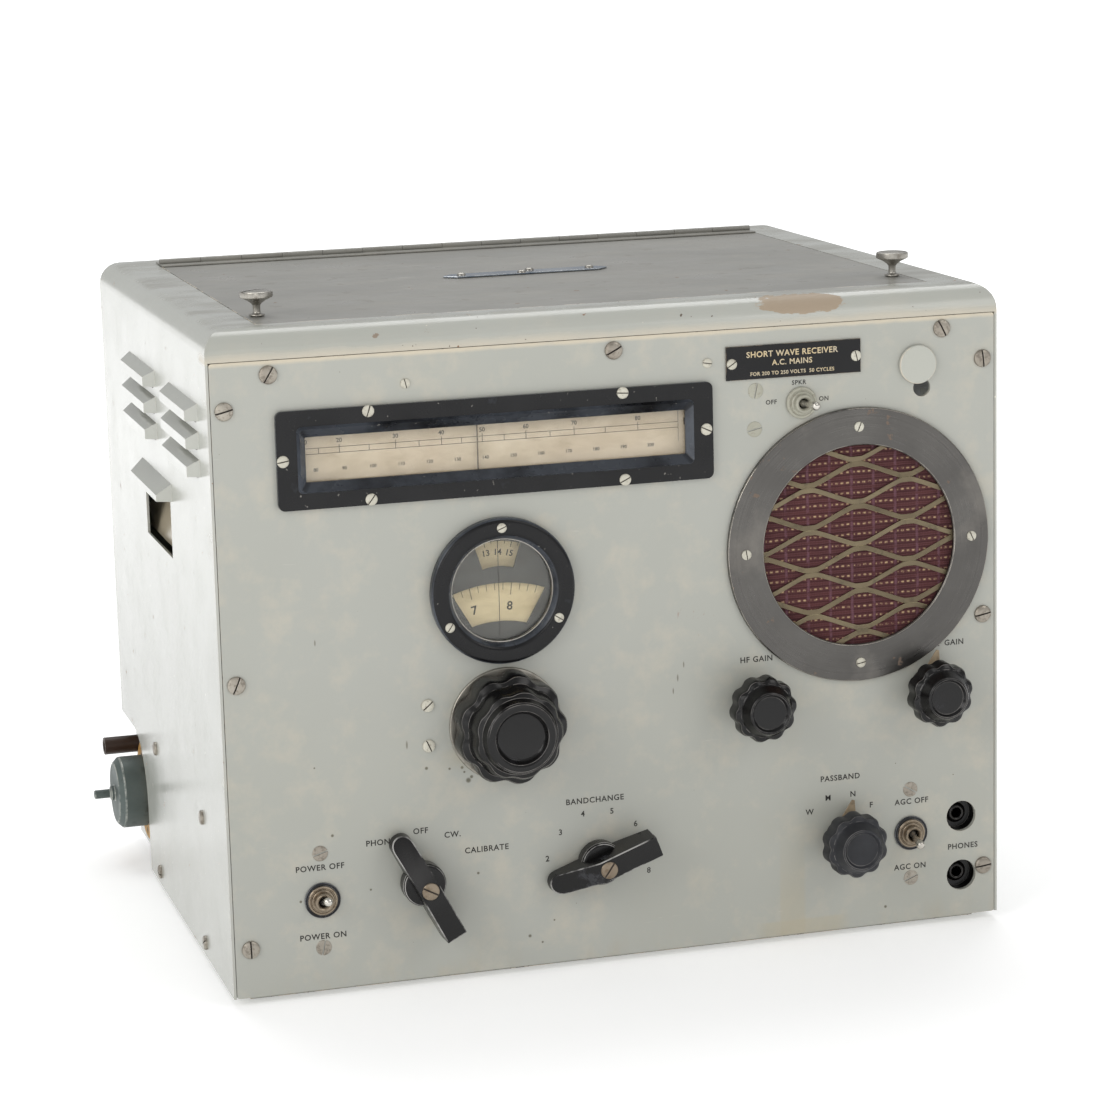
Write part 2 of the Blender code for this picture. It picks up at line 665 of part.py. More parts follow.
def build_logging_dial():
    centre = (TUNE_X, LOG_Z)
    at = on_panel(centre)
    bezel = [
        (LOG_GLASS_R, GAP),
        (LOG_R, GAP),
        (LOG_R, LOG_BEZEL - 2 * MM),
        (LOG_R - 2 * MM, LOG_BEZEL),
        (LOG_GLASS_R + 2 * MM, LOG_BEZEL),
        (LOG_GLASS_R, LOG_BEZEL - 2 * MM),
    ]
    lathe("logging_bezel", bezel, OUT, "black_paint", at, 48)
    cylinder("logging_glass", LOG_GLASS_R + 1.5 * MM - GAP, -GAP - GLASS, -GAP, OUT, "glass", at, 40)
    mask_r = LOG_R - 2 * MM
    mask = cylinder("logging_mask", mask_r, -MASK_BACK - CARD_THICK, -MASK_BACK, OUT, "black_paint", at, 40)
    axis_drop = LOG_Z - TUNE_Z
    band_low, band_high = LOG_DISC_R - 24 * MM, LOG_DISC_R - 0.5 * MM
    reach = LOG_GLASS_R
    half_angle = 180 / pi * asin(reach / band_high)
    low_half = 180 / pi * asin(17 * MM / band_low)
    band = arc((0, -axis_drop), band_high, 90 - half_angle * 0.92, 90 + half_angle * 0.92, 12)
    band += arc((0, -axis_drop), band_low, 90 + low_half, 90 - low_half, 10)
    turns_centre = (0, -TURNS_DROP)
    upper = arc(turns_centre, TURNS_R - 0.5 * MM, 72, 108, 8)
    upper += arc(turns_centre, TURNS_R - 16 * MM, 108, 72, 8)
    cut(mask, prisms("mask_windows", [band, upper], "Y", 0, FLANGE, None, at))

    disc_at = (TUNE_X, FRONT + LOG_DISC_BACK, TUNE_Z)
    tube("logging_disc", LOG_DISC_R, TUNE_SHAFT_R + GAP, -DISC_THICK, 0, OUT, "card", disc_at, 56)
    turns_at = (TUNE_X, FRONT + TURNS_BACK, LOG_Z - TURNS_DROP)
    hub = [
        (0, -8 * MM),
        (3 * MM, -8 * MM),
        (3 * MM, -DISC_THICK),
        (TURNS_R, -DISC_THICK),
        (TURNS_R, 0),
        (0, 0),
    ]
    lathe("turns_disc", hub, OUT, "card", turns_at, 40)


def scalloped_knob(name, at, radius, cap_radius, height, foot, lobes, shaft_r, shaft_in):
    """A moulded knob with a lobed skirt, a lobed cap and its spindle."""
    skirt_top = foot + 0.5 * (height - foot)
    knob = prism(name, scallops(radius, lobes, 0.075 * radius), "Y", -skirt_top, -foot, "bakelite", at)
    cap_plan = scallops(cap_radius, lobes, 0.05 * radius)
    cap = prism(name + "_cap", cap_plan, "Y", -height, -skirt_top + MM, None, at)
    spindle = cylinder(name + "_spindle", shaft_r, -shaft_in, height / 2, OUT, None, at, 16)
    join(knob, cap, spindle)
    return knob


def add_pointer(knob, tilt):
    """A flat triangular pointer plate under a knob."""
    half = 9 * MM
    outline = turned([(-half, 0), (half, 0), (1 * MM, POINTER_REACH), (-1 * MM, POINTER_REACH)], -tilt)
    low, high = -KNOB_FOOT - POINTER_THICK / 2, -KNOB_FOOT + POINTER_THICK / 2
    join(knob, prism(knob.name + "_pointer", outline, "Y", low, high, None, knob.location))


def bar_knob(name, spot, angle):
    """A long bar knob: a round hub, a flat raised half and a half that slopes to its pointing end."""
    at = on_panel(spot)
    tip, tail = BAR_LENGTH, -BAR_LENGTH
    plan = [
        (tail, -BAR_WIDTH / 2),
        (tip - BAR_WIDTH / 2, -BAR_WIDTH / 2),
        *arc((tip - BAR_WIDTH / 2, 0), BAR_WIDTH / 2, -60, 60, 4),
        (tip - BAR_WIDTH / 2, BAR_WIDTH / 2),
        (tail, BAR_WIDTH / 2),
    ]
    knob = prism(name, turned(plan, angle), "Y", -BAR_HEIGHT, -4 * MM, "bakelite", at)
    above, far_tip = -BAR_HEIGHT - 2 * MM, 1.3 * tip
    side_view = [(0, above), (far_tip, above), (far_tip, -5 * MM)]
    wedge = prism(name + "_slope", side_view, "Z", -BAR_WIDTH, BAR_WIDTH, None, at)
    wedge.rotation_euler = (0, -radians(angle), 0)
    under_view = [(tail - MM, -9 * MM), (-BAR_HUB_R, -3 * MM), (tail - MM, MM)]
    under = prism(name + "_under", under_view, "Z", -BAR_WIDTH, BAR_WIDTH, None, at)
    under.rotation_euler = (0, -radians(angle), 0)
    cut(knob, wedge, under)
    hub = cylinder(name + "_hub", BAR_HUB_R, 3 * MM, 13 * MM, OUT, None, at, 24)
    spindle = cylinder(name + "_spindle", SHAFT_R, -PANEL_THICK - SHAFT_IN, 8 * MM, OUT, None, at, 16)
    join(knob, hub, spindle)
    return knob


def build_control_body(name, spot, radius, length):
    """A potentiometer or wafer switch: its bush comes through the panel and its bore takes the spindle."""
    start = PANEL_THICK + GAP
    bore = SHAFT_R + RUNNING
    depth = PANEL_THICK + SHAFT_IN + RUNNING
    profile = [
        (0, -start - length),
        (radius, -start - length),
        (radius, -start),
        (BUSH_R, -start),
        (BUSH_R, 2 * MM),
        (bore, 2 * MM),
        (bore, -depth),
        (0, -depth),
    ]
    lathe(name, profile, OUT, "aluminium", on_panel(spot), 24)


def build_controls():
    build_control_body("hf_gain_pot", HF_GAIN, POT_R, POT_LENGTH + 2 * MM)
    build_control_body("lf_gain_pot", LF_GAIN, POT_R, POT_LENGTH + 2 * MM)
    for name, spot in (
        ("passband_switch", PASSBAND),
        ("function_switch", FUNCTION),
        ("bandchange_switch", BANDCHANGE),
    ):
        build_control_body(name, spot, WAFER_R, WAFER_LENGTH)

    height, foot = KNOB_HEIGHT + KNOB_STAND, KNOB_FOOT + KNOB_STAND
    small = (KNOB_R, 0.78 * KNOB_R, height, foot, KNOB_LOBES, SHAFT_R, PANEL_THICK + SHAFT_IN)
    for name, spot in (("hf_gain_knob", HF_GAIN), ("lf_gain_knob", LF_GAIN), ("passband_knob", PASSBAND)):
        knob = scalloped_knob(name, on_panel(spot), *small)
        join(knob, cylinder(name + "_neck", KNOB_NECK_R, KNOB_FOOT, foot + MM, OUT, None, knob.location, 24))
        if spot != HF_GAIN:
            add_pointer(knob, POINTER_TILT)
    bar_knob("function_knob", FUNCTION, FUNCTION_ANGLE)
    bar_knob("bandchange_knob", BANDCHANGE, BANDCHANGE_ANGLE)


def build_tuning_drive():
    """Knob, panel disc, gearbox and the variable capacitor that it turns."""
    tune = (TUNE_X, TUNE_Z)
    at = on_panel(tune)
    tube("tuning_backplate", TUNE_DISC_R, TUNE_SHAFT_R + RUNNING, GAP, 2 * MM, OUT, "nickel", at, 40)
    shaft_end = CHASSIS_FRONT + GEARBOX_LENGTH / 2
    sizes = (TUNE_SKIRT_R, TUNE_CAP_R, TUNE_HEIGHT, TUNE_FOOT, TUNE_LOBES, TUNE_SHAFT_R, shaft_end - FRONT)
    scalloped_knob("tuning_knob", at, *sizes)

    low = (TUNE_X - GEARBOX_W / 2, CHASSIS_FRONT, DECK_Z + GAP)
    high = (TUNE_X + GEARBOX_W / 2, CHASSIS_FRONT + GEARBOX_LENGTH, TUNE_Z + GEARBOX_W / 2)
    gearbox = box("tuning_gearbox", low, high, "aluminium")
    bore_at = (TUNE_X, CHASSIS_FRONT, TUNE_Z)
    bore_end = -GEARBOX_LENGTH / 2 - RUNNING
    bore = cylinder("gearbox_bore", TUNE_SHAFT_R + RUNNING, bore_end, FLANGE, OUT, None, bore_at, 16)
    cut(gearbox, bore)

    start = CHASSIS_FRONT + GEARBOX_LENGTH + 3 * MM
    end = start + CAPACITOR_LENGTH
    half = CAPACITOR_W / 2
    top = TUNE_Z + half
    frame = box("capacitor_frame", (TUNE_X - half, start, DECK_Z + GAP), (TUNE_X + half, end, top), "aluminium")
    wall = 3 * MM
    inside_low = (TUNE_X - half - wall, start + wall, DECK_Z + 2 * wall)
    inside_high = (TUNE_X + half + wall, end - wall, top + wall)
    cut(frame, box("capacitor_inside", inside_low, inside_high))
    pitch = (CAPACITOR_LENGTH - 2 * wall) / (2 * STATOR_PLATES + 1)
    plate = 1.5 * MM
    bm = bmesh.new()
    outline = rectangle(TUNE_X - half + wall, DECK_Z + wall, TUNE_X - ROTOR_R / 4, TUNE_Z + half - wall)
    for i in range(STATOR_PLATES):
        y = start + wall + (2 * i + 1) * pitch
        extruded(bm, outline, "Y", y - plate / 2, y + plate / 2)
    join(frame, place("stator_plates", bm, None))
    axle_at = (TUNE_X, start, TUNE_Z)
    past = start - end - FLANGE
    cut(frame, cylinder("capacitor_bore", SHAFT_R + RUNNING, past, FLANGE, OUT, None, axle_at, 16))

    axle_in = CAPACITOR_LENGTH
    rotor = cylinder("capacitor_rotor", SHAFT_R, -axle_in, 0, OUT, "aluminium", axle_at, 16)
    bm = bmesh.new()
    for i in range(STATOR_PLATES):
        y = wall + (2 * i + 2) * pitch
        half_disc = arc((0, 0), ROTOR_R, -90, 90, 12)
        extruded(bm, half_disc, "Y", y - plate / 2, y + plate / 2)
    join(rotor, place("rotor_plates", bm, None, axle_at))


def build_toggle(name, spot, ring_r, look):
    at = on_panel(spot)
    back = PANEL_THICK + GAP
    cone_r = TOGGLE_BUSH_R - 1.4 * MM
    profile = [
        (0, -back - 24 * MM),
        (9 * MM, -back - 24 * MM),
        (9 * MM, -back),
        (TOGGLE_BUSH_R, -back),
        (TOGGLE_BUSH_R, GAP),
        (ring_r, GAP),
        (ring_r, 2.4 * MM),
        (TOGGLE_BUSH_R, 2.4 * MM),
        (TOGGLE_BUSH_R, TOGGLE_BUSH_OUT),
        (cone_r, TOGGLE_BUSH_OUT),
        (cone_r, -2 * MM),
        (0, -2 * MM),
    ]
    lathe(name, profile, OUT, look, at, 28)


def build_lever(name, spot, tilt_x, tilt_z):
    """A toggle's lever, a tapered bat on a ball, leaning from its pivot."""
    pivot = on_panel(spot, LEVER_PIVOT)
    direction = Vector((tan(radians(tilt_x)), -1, tan(radians(tilt_z)))).normalized()
    profile = [
        (0, -2.2 * MM),
        (1.6 * MM, -1.6 * MM),
        (2.3 * MM, 0),
        (1.5 * MM, 2 * MM),
        (2.7 * MM, LEVER_LENGTH - 2.5 * MM),
        (1.8 * MM, LEVER_LENGTH - 0.5 * MM),
        (0, LEVER_LENGTH),
    ]
    lathe(name, profile, direction, "nickel", pivot, 16)


def build_switches():
    half = TOGGLE_THROW / 2
    build_toggle("power_switch_body", POWER, TOGGLE_RING_R, "black_paint")
    build_toggle("agc_switch_body", AGC, TOGGLE_RING_R, "black_paint")
    build_toggle("speaker_switch_body", SPEAKER_SWITCH, TOGGLE_NUT_R, "grey_paint")
    build_lever("power_lever", POWER, 0, half)
    build_lever("agc_lever", AGC, 0, -half)
    build_lever("speaker_lever", SPEAKER_SWITCH, half, 0)


def build_jacks():
    cup = PANEL_THICK + GAP
    floor = cup + 6 * MM
    profile = [
        (JACK_BORE_R, -floor - 24 * MM),
        (7 * MM, -floor - 24 * MM),
        (7 * MM, -floor - 2 * MM),
        (JACK_HOLE_R + 1.5 * MM, -floor - 2 * MM),
        (JACK_HOLE_R + 1.5 * MM, -cup - 1.5 * MM),
        (JACK_HOLE_R + 3 * MM, -cup - 1.5 * MM),
        (JACK_HOLE_R + 3 * MM, -cup),
        (JACK_HOLE_R, -cup),
        (JACK_HOLE_R, -floor),
        (5.5 * MM, -floor),
        (5.5 * MM, -floor + 2 * MM),
        (JACK_BORE_R, -floor + 2 * MM),
    ]
    for name, spot in zip(("phone_jack_upper", "phone_jack_lower"), JACKS):
        lathe(name, profile, OUT, "bakelite", on_panel(spot), 24)


def build_trim():
    plate = rounded(
        -NAMEPLATE_W / 2, -NAMEPLATE_H / 2, NAMEPLATE_W / 2, NAMEPLATE_H / 2, [0.8 * MM] * 4, 2
    )
    prism("nameplate", plate, "Y", -1.2 * MM, -GAP, "black_paint", on_panel(NAMEPLATE))
    cover_at = on_panel(COVER_PIVOT)
    disc = circle(COVER_R, 32, COVER_OFFSET)
    cover = prism("cover_disc", disc, "Y", -2 * MM, -GAP - 0.2 * MM, "grey_paint", cover_at)
    pivot = cylinder("cover_rivet", 1.5 * MM, -PANEL_THICK, 3 * MM, OUT, None, cover_at, 16)
    join(cover, pivot)


def diamond_outlines():
    """The openings of expanded metal, staggered column by column."""
    half_w, half_h = DIAMOND_W / 2, DIAMOND_H / 2
    slope = half_h / half_w
    inset_h = STRAND / 2 * (1 + slope**2) ** 0.5
    inset_w = inset_h / slope
    reach = RING_HOLE_R + DIAMOND_W
    outlines = []
    columns = int(reach // half_w)
    rows = int(reach // DIAMOND_H) + 1
    for column in range(-columns, columns + 1):
        x = column * half_w
        shift = half_h if column % 2 else 0
        for row in range(-rows, rows + 1):
            z = row * DIAMOND_H + shift
            wide, tall = half_w - inset_w, half_h - inset_h
            outlines.append([(x - wide, z), (x, z - tall), (x + wide, z), (x, z + tall)])
    return outlines


def build_speaker():
    at = on_panel(SPEAKER)
    ring = [
        (RING_HOLE_R, GAP),
        (RING_R, GAP),
        (RING_R, RING_THICK - MM),
        (RING_R - MM, RING_THICK),
        (RING_HOLE_R + MM, RING_THICK),
        (RING_HOLE_R, RING_THICK - MM),
    ]
    lathe("speaker_ring", ring, OUT, "nickel", at, 64)
    disc_r = SPEAKER_HOLE_R - GAP
    grille = cylinder("speaker_grille", disc_r, -GAP - GRILLE_THICK, -GAP, OUT, "brass", at, 56)
    openings = prisms("grille_openings", diamond_outlines(), "Y", -FLANGE, FLANGE, None, at)
    field_r = RING_HOLE_R - 0.5 * MM
    field = cylinder("grille_field", field_r, -BASE_FLANGE, BASE_FLANGE, OUT, None, at, 56)
    keep_common(openings, field)
    cut(grille, openings)
    cloth_back = 2 * GAP + GRILLE_THICK + CLOTH_THICK
    cylinder("speaker_cloth", disc_r, -cloth_back, -2 * GAP - GRILLE_THICK, OUT, "cloth", at, 40)

    start = PANEL_THICK + GAP
    neck = start + BASKET_DEPTH
    wall = 1.5 * MM
    basket = [
        (SPEAKER_HOLE_R, -start),
        (BASKET_R, -start),
        (BASKET_R, -start - wall),
        (SPEAKER_HOLE_R + wall, -start - wall),
        (MAGNET_R, -neck),
        (12 * MM, -neck),
        (12 * MM, -neck + wall),
        (MAGNET_R - wall, -neck + wall),
    ]
    lathe("speaker_basket", basket, OUT, "inner_steel", at, 40)
    cone = [
        (SPEAKER_HOLE_R - 4 * MM, -start - MM),
        (SPEAKER_HOLE_R - 2 * MM, -start - 2 * MM),
        (15 * MM, -neck + 6 * MM),
        (13 * MM, -neck + 6 * MM),
    ]
    lathe("speaker_cone", cone, OUT, "paper", at, 40)
    far = -neck - MAGNET_LENGTH
    magnet = [(0, far), (MAGNET_R, far), (MAGNET_R, -neck - GAP), (0, -neck - GAP)]
    lathe("speaker_magnet", magnet, OUT, "inner_steel", at, 28)


def build_lid():
    """The hinged lid, its piano hinge, its strap and its two thumbscrews."""
    axis_at = (0, LID_BACK, HINGE_Z)
    low = (-LID_X, LID_FRONT - LID_BACK, LID_UNDER - HINGE_Z)
    high = (LID_X, -LID_SEAM, LID_TOP - HINGE_Z)
    lid = box("top_lid", low, high, "grey_paint", axis_at)
    for side in (-1, 1):
        hole_at = (side * (LID_X - SCREW_INSET), LID_FRONT + SCREW_BACK, LID_UNDER)
        cut(lid, cylinder(f"lid_hole_{side}", SCREW_R + GAP, -FLANGE, FLANGE, UP, at=hole_at, steps=20))

    length = 2 * LID_X
    pitch = length / KNUCKLES
    for name, forward, first in (("hinge_fixed_leaf", 1, 0), ("hinge_moving_leaf", -1, 1)):
        inner_edge = HINGE_R + RUNNING
        leaf_low = sorted((forward * inner_edge, forward * (inner_edge + HINGE_LEAF_WIDTH)))
        under = -HINGE_R
        leaf = box(
            name,
            (-LID_X, leaf_low[0], under),
            (LID_X, leaf_low[1], under + HINGE_LEAF),
            "grey_paint",
            axis_at,
        )
        reach = forward * (HINGE_R + 2 * RUNNING)
        over = under + HINGE_LEAF
        tongue = [(0, under), (reach, under), (reach, over), (forward * HINGE_R * 0.8, over)]
        curl = arc((0, 0), HINGE_R, -30 if forward > 0 else 210, 270 if forward > 0 else -90, 12)
        outline = curl[1:-1] + tongue
        bm = bmesh.new()
        for i in range(first, KNUCKLES, 2):
            x = -LID_X + i * pitch
            extruded(bm, outline, "X", x + GAP / 2, x + pitch - GAP / 2)
        join(leaf, place(name + "_knuckles", bm, None, axis_at))
        pin_way = cylinder(name + "_bore", HINGE_PIN_R + GAP, -length, length, SIDEWAYS, None, axis_at, 12)
        cut(leaf, pin_way)
    cylinder("hinge_pin", HINGE_PIN_R, -LID_X, LID_X, SIDEWAYS, "nickel", axis_at, 12)

    strap_at = (0, FRONT + STRAP_DEPTH, LID_TOP)
    half_l, half_w = STRAP_LENGTH / 2, STRAP_WIDTH / 2
    plan = [(-half_l, 0), (-half_l + half_w, -half_w), (half_l - half_w, -half_w), (half_l, 0)]
    plan += [(half_l - half_w, half_w), (-half_l + half_w, half_w)]
    strap = prism("lid_strap", plan, "Z", GAP, GAP + STRAP_THICK, "blued_steel", strap_at)
    heads = [circle(RIVET_R, 12, spot) for spot in STRAP_RIVETS]
    join(strap, prisms("strap_rivets", heads, "Z", STRAP_THICK, STRAP_THICK + 2 * MM, None, strap_at))

    for name, side in (("thumb_screw_left", -1), ("thumb_screw_right", 1)):
        at = (side * (LID_X - SCREW_INSET), LID_FRONT + SCREW_BACK, LID_TOP)
        profile = [
            (0, -SHEET - 7 * MM),
            (SCREW_R, -SHEET - 6 * MM),
            (SCREW_R, GAP),
            (SCREW_R + 2 * MM, GAP),
            (SCREW_R + 2 * MM, 1.5 * MM),
            (SCREW_R, 2 * MM),
            (SCREW_R, 0.45 * SCREW_HEIGHT),
            (0.75 * SCREW_HEAD_R, 0.7 * SCREW_HEIGHT),
            (SCREW_HEAD_R, 0.75 * SCREW_HEIGHT),
            (SCREW_HEAD_R, 0.92 * SCREW_HEIGHT),
            (0.8 * SCREW_HEAD_R, SCREW_HEIGHT),
            (0, SCREW_HEIGHT),
        ]
        lathe(name, profile, UP, "nickel", at, 24)


def build_connectors():
    """The recessed plate in the rear left corner, with the mains inlet, its plug and the aerial terminal."""
    face = LEFT + RECESS
    outer = LEFT + BASE_FLANGE + FLANGE
    centre = (BACK - SOCKET_BACK + RUNNING, SOCKET_Z - RUNNING)
    radius = SOCKET_R + NOTCH_MARGIN
    rear, foot = BACK - PANEL_GAP, CASE_BOTTOM + RUNNING
    curve = arc(centre, radius, 90, 180, 8)
    outline = [(rear, centre[1] + radius), *curve, (centre[0] - radius, foot), (rear, foot)]
    plate = prism("connector_plate", outline, "X", face, face + SHEET, "grey_paint")
    deep = prism("connector_wall", outline, "X", face, outer - PANEL_GAP)
    inner = [
        (BACK + FLANGE, centre[1] + radius - SHEET),
        *arc(centre, radius - SHEET, 90, 180, 8),
        (centre[0] - radius + SHEET, -FLANGE),
        (BACK + FLANGE, -FLANGE),
    ]
    cut(deep, prism("connector_space", inner, "X", face + SHEET / 2, outer + FLANGE))
    join(plate, deep)

    socket_at = (face, BACK - SOCKET_BACK, SOCKET_Z)
    hole = cylinder("socket_way", SPIGOT_R + 3 * MM, -FLANGE, FLANGE, SIDEWAYS, None, socket_at, 24)
    terminal_at = (face, BACK - TERMINAL_BACK, TERMINAL_Z)
    terminal_way = cylinder("terminal_way", 3 * MM + GAP, -FLANGE, FLANGE, SIDEWAYS, None, terminal_at, 16)
    cut(plate, hole, terminal_way)
    bore = SPIGOT_R + RUNNING
    depth = -SPIGOT_LENGTH - 4 * MM
    socket = [
        (0, depth - 3 * MM),
        (SPIGOT_R + 2.6 * MM, depth - 3 * MM),
        (SPIGOT_R + 2.6 * MM, GAP),
        (SOCKET_R, GAP),
        (SOCKET_R, SOCKET_THICK),
        (bore, SOCKET_THICK),
        (bore, depth),
        (0, depth),
    ]
    lathe("mains_socket", socket, SIDEWAYS, "yellow_paint", socket_at, 36)
    base = SOCKET_THICK + RUNNING
    plug = [
        (0, -SPIGOT_LENGTH + SOCKET_THICK),
        (SPIGOT_R, -SPIGOT_LENGTH + SOCKET_THICK),
        (SPIGOT_R, base),
        (PLUG_R, base),
        (PLUG_R, base + PLUG_LENGTH - 4 * MM),
        (PLUG_R - 4 * MM, base + PLUG_LENGTH),
        (PLUG_TAIL_R + 2 * MM, base + PLUG_LENGTH),
        (PLUG_TAIL_R + 2 * MM, base + PLUG_LENGTH + 3 * MM),
        (PLUG_TAIL_R, base + PLUG_LENGTH + 3 * MM),
        (PLUG_TAIL_R, base + PLUG_LENGTH + PLUG_TAIL),
        (0, base + PLUG_LENGTH + PLUG_TAIL),
    ]
    lathe("mains_plug", plug, SIDEWAYS, "grey_plug", socket_at, 32)
    terminal = [
        (0, -10 * MM),
        (3 * MM, -10 * MM),
        (3 * MM, GAP),
        (TERMINAL_R, GAP),
        (TERMINAL_R, TERMINAL_LENGTH),
        (TERMINAL_R - 2 * MM, TERMINAL_LENGTH),
        (TERMINAL_R - 2 * MM, TERMINAL_LENGTH - 8 * MM),
        (0, TERMINAL_LENGTH - 8 * MM),
    ]
    lathe("aerial_terminal", terminal, SIDEWAYS, "brown_moulding", terminal_at, 20)


def build_chassis():
    low_z = SHEET + GAP
    corners = ((CHASSIS_LEFT, CHASSIS_FRONT, low_z), (CHASSIS_RIGHT, CHASSIS_BACK, DECK_Z))
    tray = box("chassis_tray", *corners, "aluminium")
    inside_low = (CHASSIS_LEFT + SHEET, CHASSIS_FRONT + SHEET, -FLANGE)
    inside_high = (CHASSIS_RIGHT - SHEET, CHASSIS_BACK - SHEET, DECK_Z - SHEET)
    cut(tray, box("chassis_space", inside_low, inside_high))
    deck = DECK_Z + GAP
    transformer = box(
        "mains_transformer",
        (CHASSIS_RIGHT - 84 * MM, CHASSIS_BACK - 92 * MM, deck),
        (CHASSIS_RIGHT - 10 * MM, CHASSIS_BACK - 22 * MM, deck + 62 * MM),
        "inner_steel",
    )
    windings = box(
        "transformer_windings",
        (CHASSIS_RIGHT - 72 * MM, CHASSIS_BACK - 104 * MM, deck + 14 * MM),
        (CHASSIS_RIGHT - 22 * MM, CHASSIS_BACK - 10 * MM, deck + 48 * MM),
    )
    join(transformer, windings)
    can = rounded(-18 * MM, -18 * MM, 18 * MM, 18 * MM, [4 * MM] * 4, 3)
    prism("if_can", can, "Z", 0, 92 * MM, "aluminium", (20 * MM, FRONT + 150 * MM, deck))
    valve = [
        (0, 0),
        (16 * MM, 0),
        (16 * MM, 26 * MM),
        (19 * MM, 40 * MM),
        (19 * MM, 72 * MM),
        (9 * MM, 88 * MM),
        (5 * MM, 90 * MM),
        (5 * MM, 98 * MM),
        (0, 98 * MM),
    ]
    lathe("valve_1", valve, UP, "glass", (80 * MM, FRONT + 150 * MM, deck), 24)
    lathe("valve_2", valve, UP, "glass", (-160 * MM, FRONT + 200 * MM, deck), 24)


def main():
    clear_scene()
    make_materials()
    build_case()
    build_front_panel()
    build_dial()
    build_logging_dial()
    build_tuning_drive()
    build_controls()
    build_switches()
    build_jacks()
    build_trim()
    build_speaker()
    build_lid()
    build_connectors()
    build_chassis()


main()
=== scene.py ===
import math
import random
import bpy
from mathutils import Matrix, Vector


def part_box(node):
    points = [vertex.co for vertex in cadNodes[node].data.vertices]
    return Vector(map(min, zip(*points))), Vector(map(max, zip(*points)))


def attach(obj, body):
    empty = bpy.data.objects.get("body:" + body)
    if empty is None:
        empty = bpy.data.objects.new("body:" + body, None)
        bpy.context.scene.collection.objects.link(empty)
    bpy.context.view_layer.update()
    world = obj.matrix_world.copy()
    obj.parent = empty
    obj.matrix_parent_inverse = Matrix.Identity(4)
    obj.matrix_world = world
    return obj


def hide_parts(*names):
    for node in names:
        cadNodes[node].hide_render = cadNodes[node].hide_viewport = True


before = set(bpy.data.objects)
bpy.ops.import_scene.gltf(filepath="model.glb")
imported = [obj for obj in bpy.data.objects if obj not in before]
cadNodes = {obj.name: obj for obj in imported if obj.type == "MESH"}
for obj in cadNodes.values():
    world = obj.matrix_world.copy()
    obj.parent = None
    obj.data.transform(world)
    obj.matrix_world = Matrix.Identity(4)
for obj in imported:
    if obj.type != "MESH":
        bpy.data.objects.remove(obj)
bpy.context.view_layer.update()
mm = 0.001
random.seed(7)
print("frame loaded:", len(cadNodes), "nodes")


# camera, floor and lights
view = {
    "place": (-0.59660, -2.12169, 0.67136),
    "turn": (78.503, 1.492, -16.315),  # degrees
    "lens": 111.757,
}
bpy.ops.object.select_all(action="DESELECT")
bpy.ops.object.camera_add(location=view["place"], rotation=[math.radians(a) for a in view["turn"]])
camera = bpy.context.object
camera.data.lens = view["lens"]
camera.data.clip_end = 50
bpy.context.scene.camera = camera

studio = {
    "floorSize": 80.0,
    "floorColour": (0.93, 0.93, 0.93, 1),
    "sky": (0.98, 0.99, 1.0, 1),
    "skyStrength": 0.5,
    "floorRough": 0.9,
    "floorGlow": 0.3,  # near the set, where its shadow has to show
    "farGlow": 0.85,
    "glowFrom": (0.7, 2.0),  # metres over which the one becomes the other
    # place, size, power in watts, colour, the point it faces
    "lamps": [
        ((-2.6, -1.6, 1.6), (1.8, 1.8), 33, (1.0, 0.99, 0.97), (-0.1, 0, 0.2)),
        ((1.9, -2.6, 2.1), (1.6, 1.6), 17, (1.0, 0.98, 0.95), (0, 0, 0.2)),
        ((0.2, 1.2, 2.6), (2.4, 1.4), 34, (0.98, 0.99, 1.0), (0, 0, 0.3)),
        ((-0.9, -3.0, 0.9), (1.2, 1.0), 8, (1.0, 0.98, 0.96), (0, 0, 0.2)),
    ],
}
bpy.ops.mesh.primitive_plane_add(size=studio["floorSize"], location=(0, 0, 0))
floor = bpy.context.object
floor.name = "floor"
paper = bpy.data.materials.new("floorPaper")
paper.use_nodes = True
paperNodes, paperLinks = paper.node_tree.nodes, paper.node_tree.links
paperShader = paperNodes["Principled BSDF"].inputs
paperShader["Base Color"].default_value = studio["floorColour"]
paperShader["Roughness"].default_value = studio["floorRough"]
paperShader["Emission Color"].default_value = (1, 1, 1, 1)
reach = paperNodes.new("ShaderNodeTexCoord")
away = paperNodes.new("ShaderNodeVectorMath")
glow = paperNodes.new("ShaderNodeMapRange")
away.operation = "LENGTH"
paperLinks.new(reach.outputs["Object"], away.inputs[0])
paperLinks.new(away.outputs["Value"], glow.inputs["Value"])
glow.inputs["From Min"].default_value, glow.inputs["From Max"].default_value = studio["glowFrom"]
glow.inputs["To Min"].default_value = studio["floorGlow"]
glow.inputs["To Max"].default_value = studio["farGlow"]
paperLinks.new(glow.outputs["Result"], paperShader["Emission Strength"])
floor.data.materials.append(paper)
world = bpy.data.worlds.new("studioSky")
world.use_nodes = True
skyNodes, skyLinks = world.node_tree.nodes, world.node_tree.links
skyNodes["Background"].inputs["Color"].default_value = studio["sky"]
skyNodes["Background"].inputs["Strength"].default_value = studio["skyStrength"]
backdrop = skyNodes.new("ShaderNodeBackground")  # plain white where the floor ends
seen = skyNodes.new("ShaderNodeLightPath")
either = skyNodes.new("ShaderNodeMixShader")
skyLinks.new(seen.outputs["Is Camera Ray"], either.inputs[0])
skyLinks.new(skyNodes["Background"].outputs[0], either.inputs[1])
skyLinks.new(backdrop.outputs[0], either.inputs[2])
skyLinks.new(either.outputs[0], skyNodes["World Output"].inputs[0])
backdrop.inputs["Color"].default_value = (1, 1, 1, 1)
bpy.context.scene.world = world
bpy.context.scene.view_settings.view_transform = "Standard"
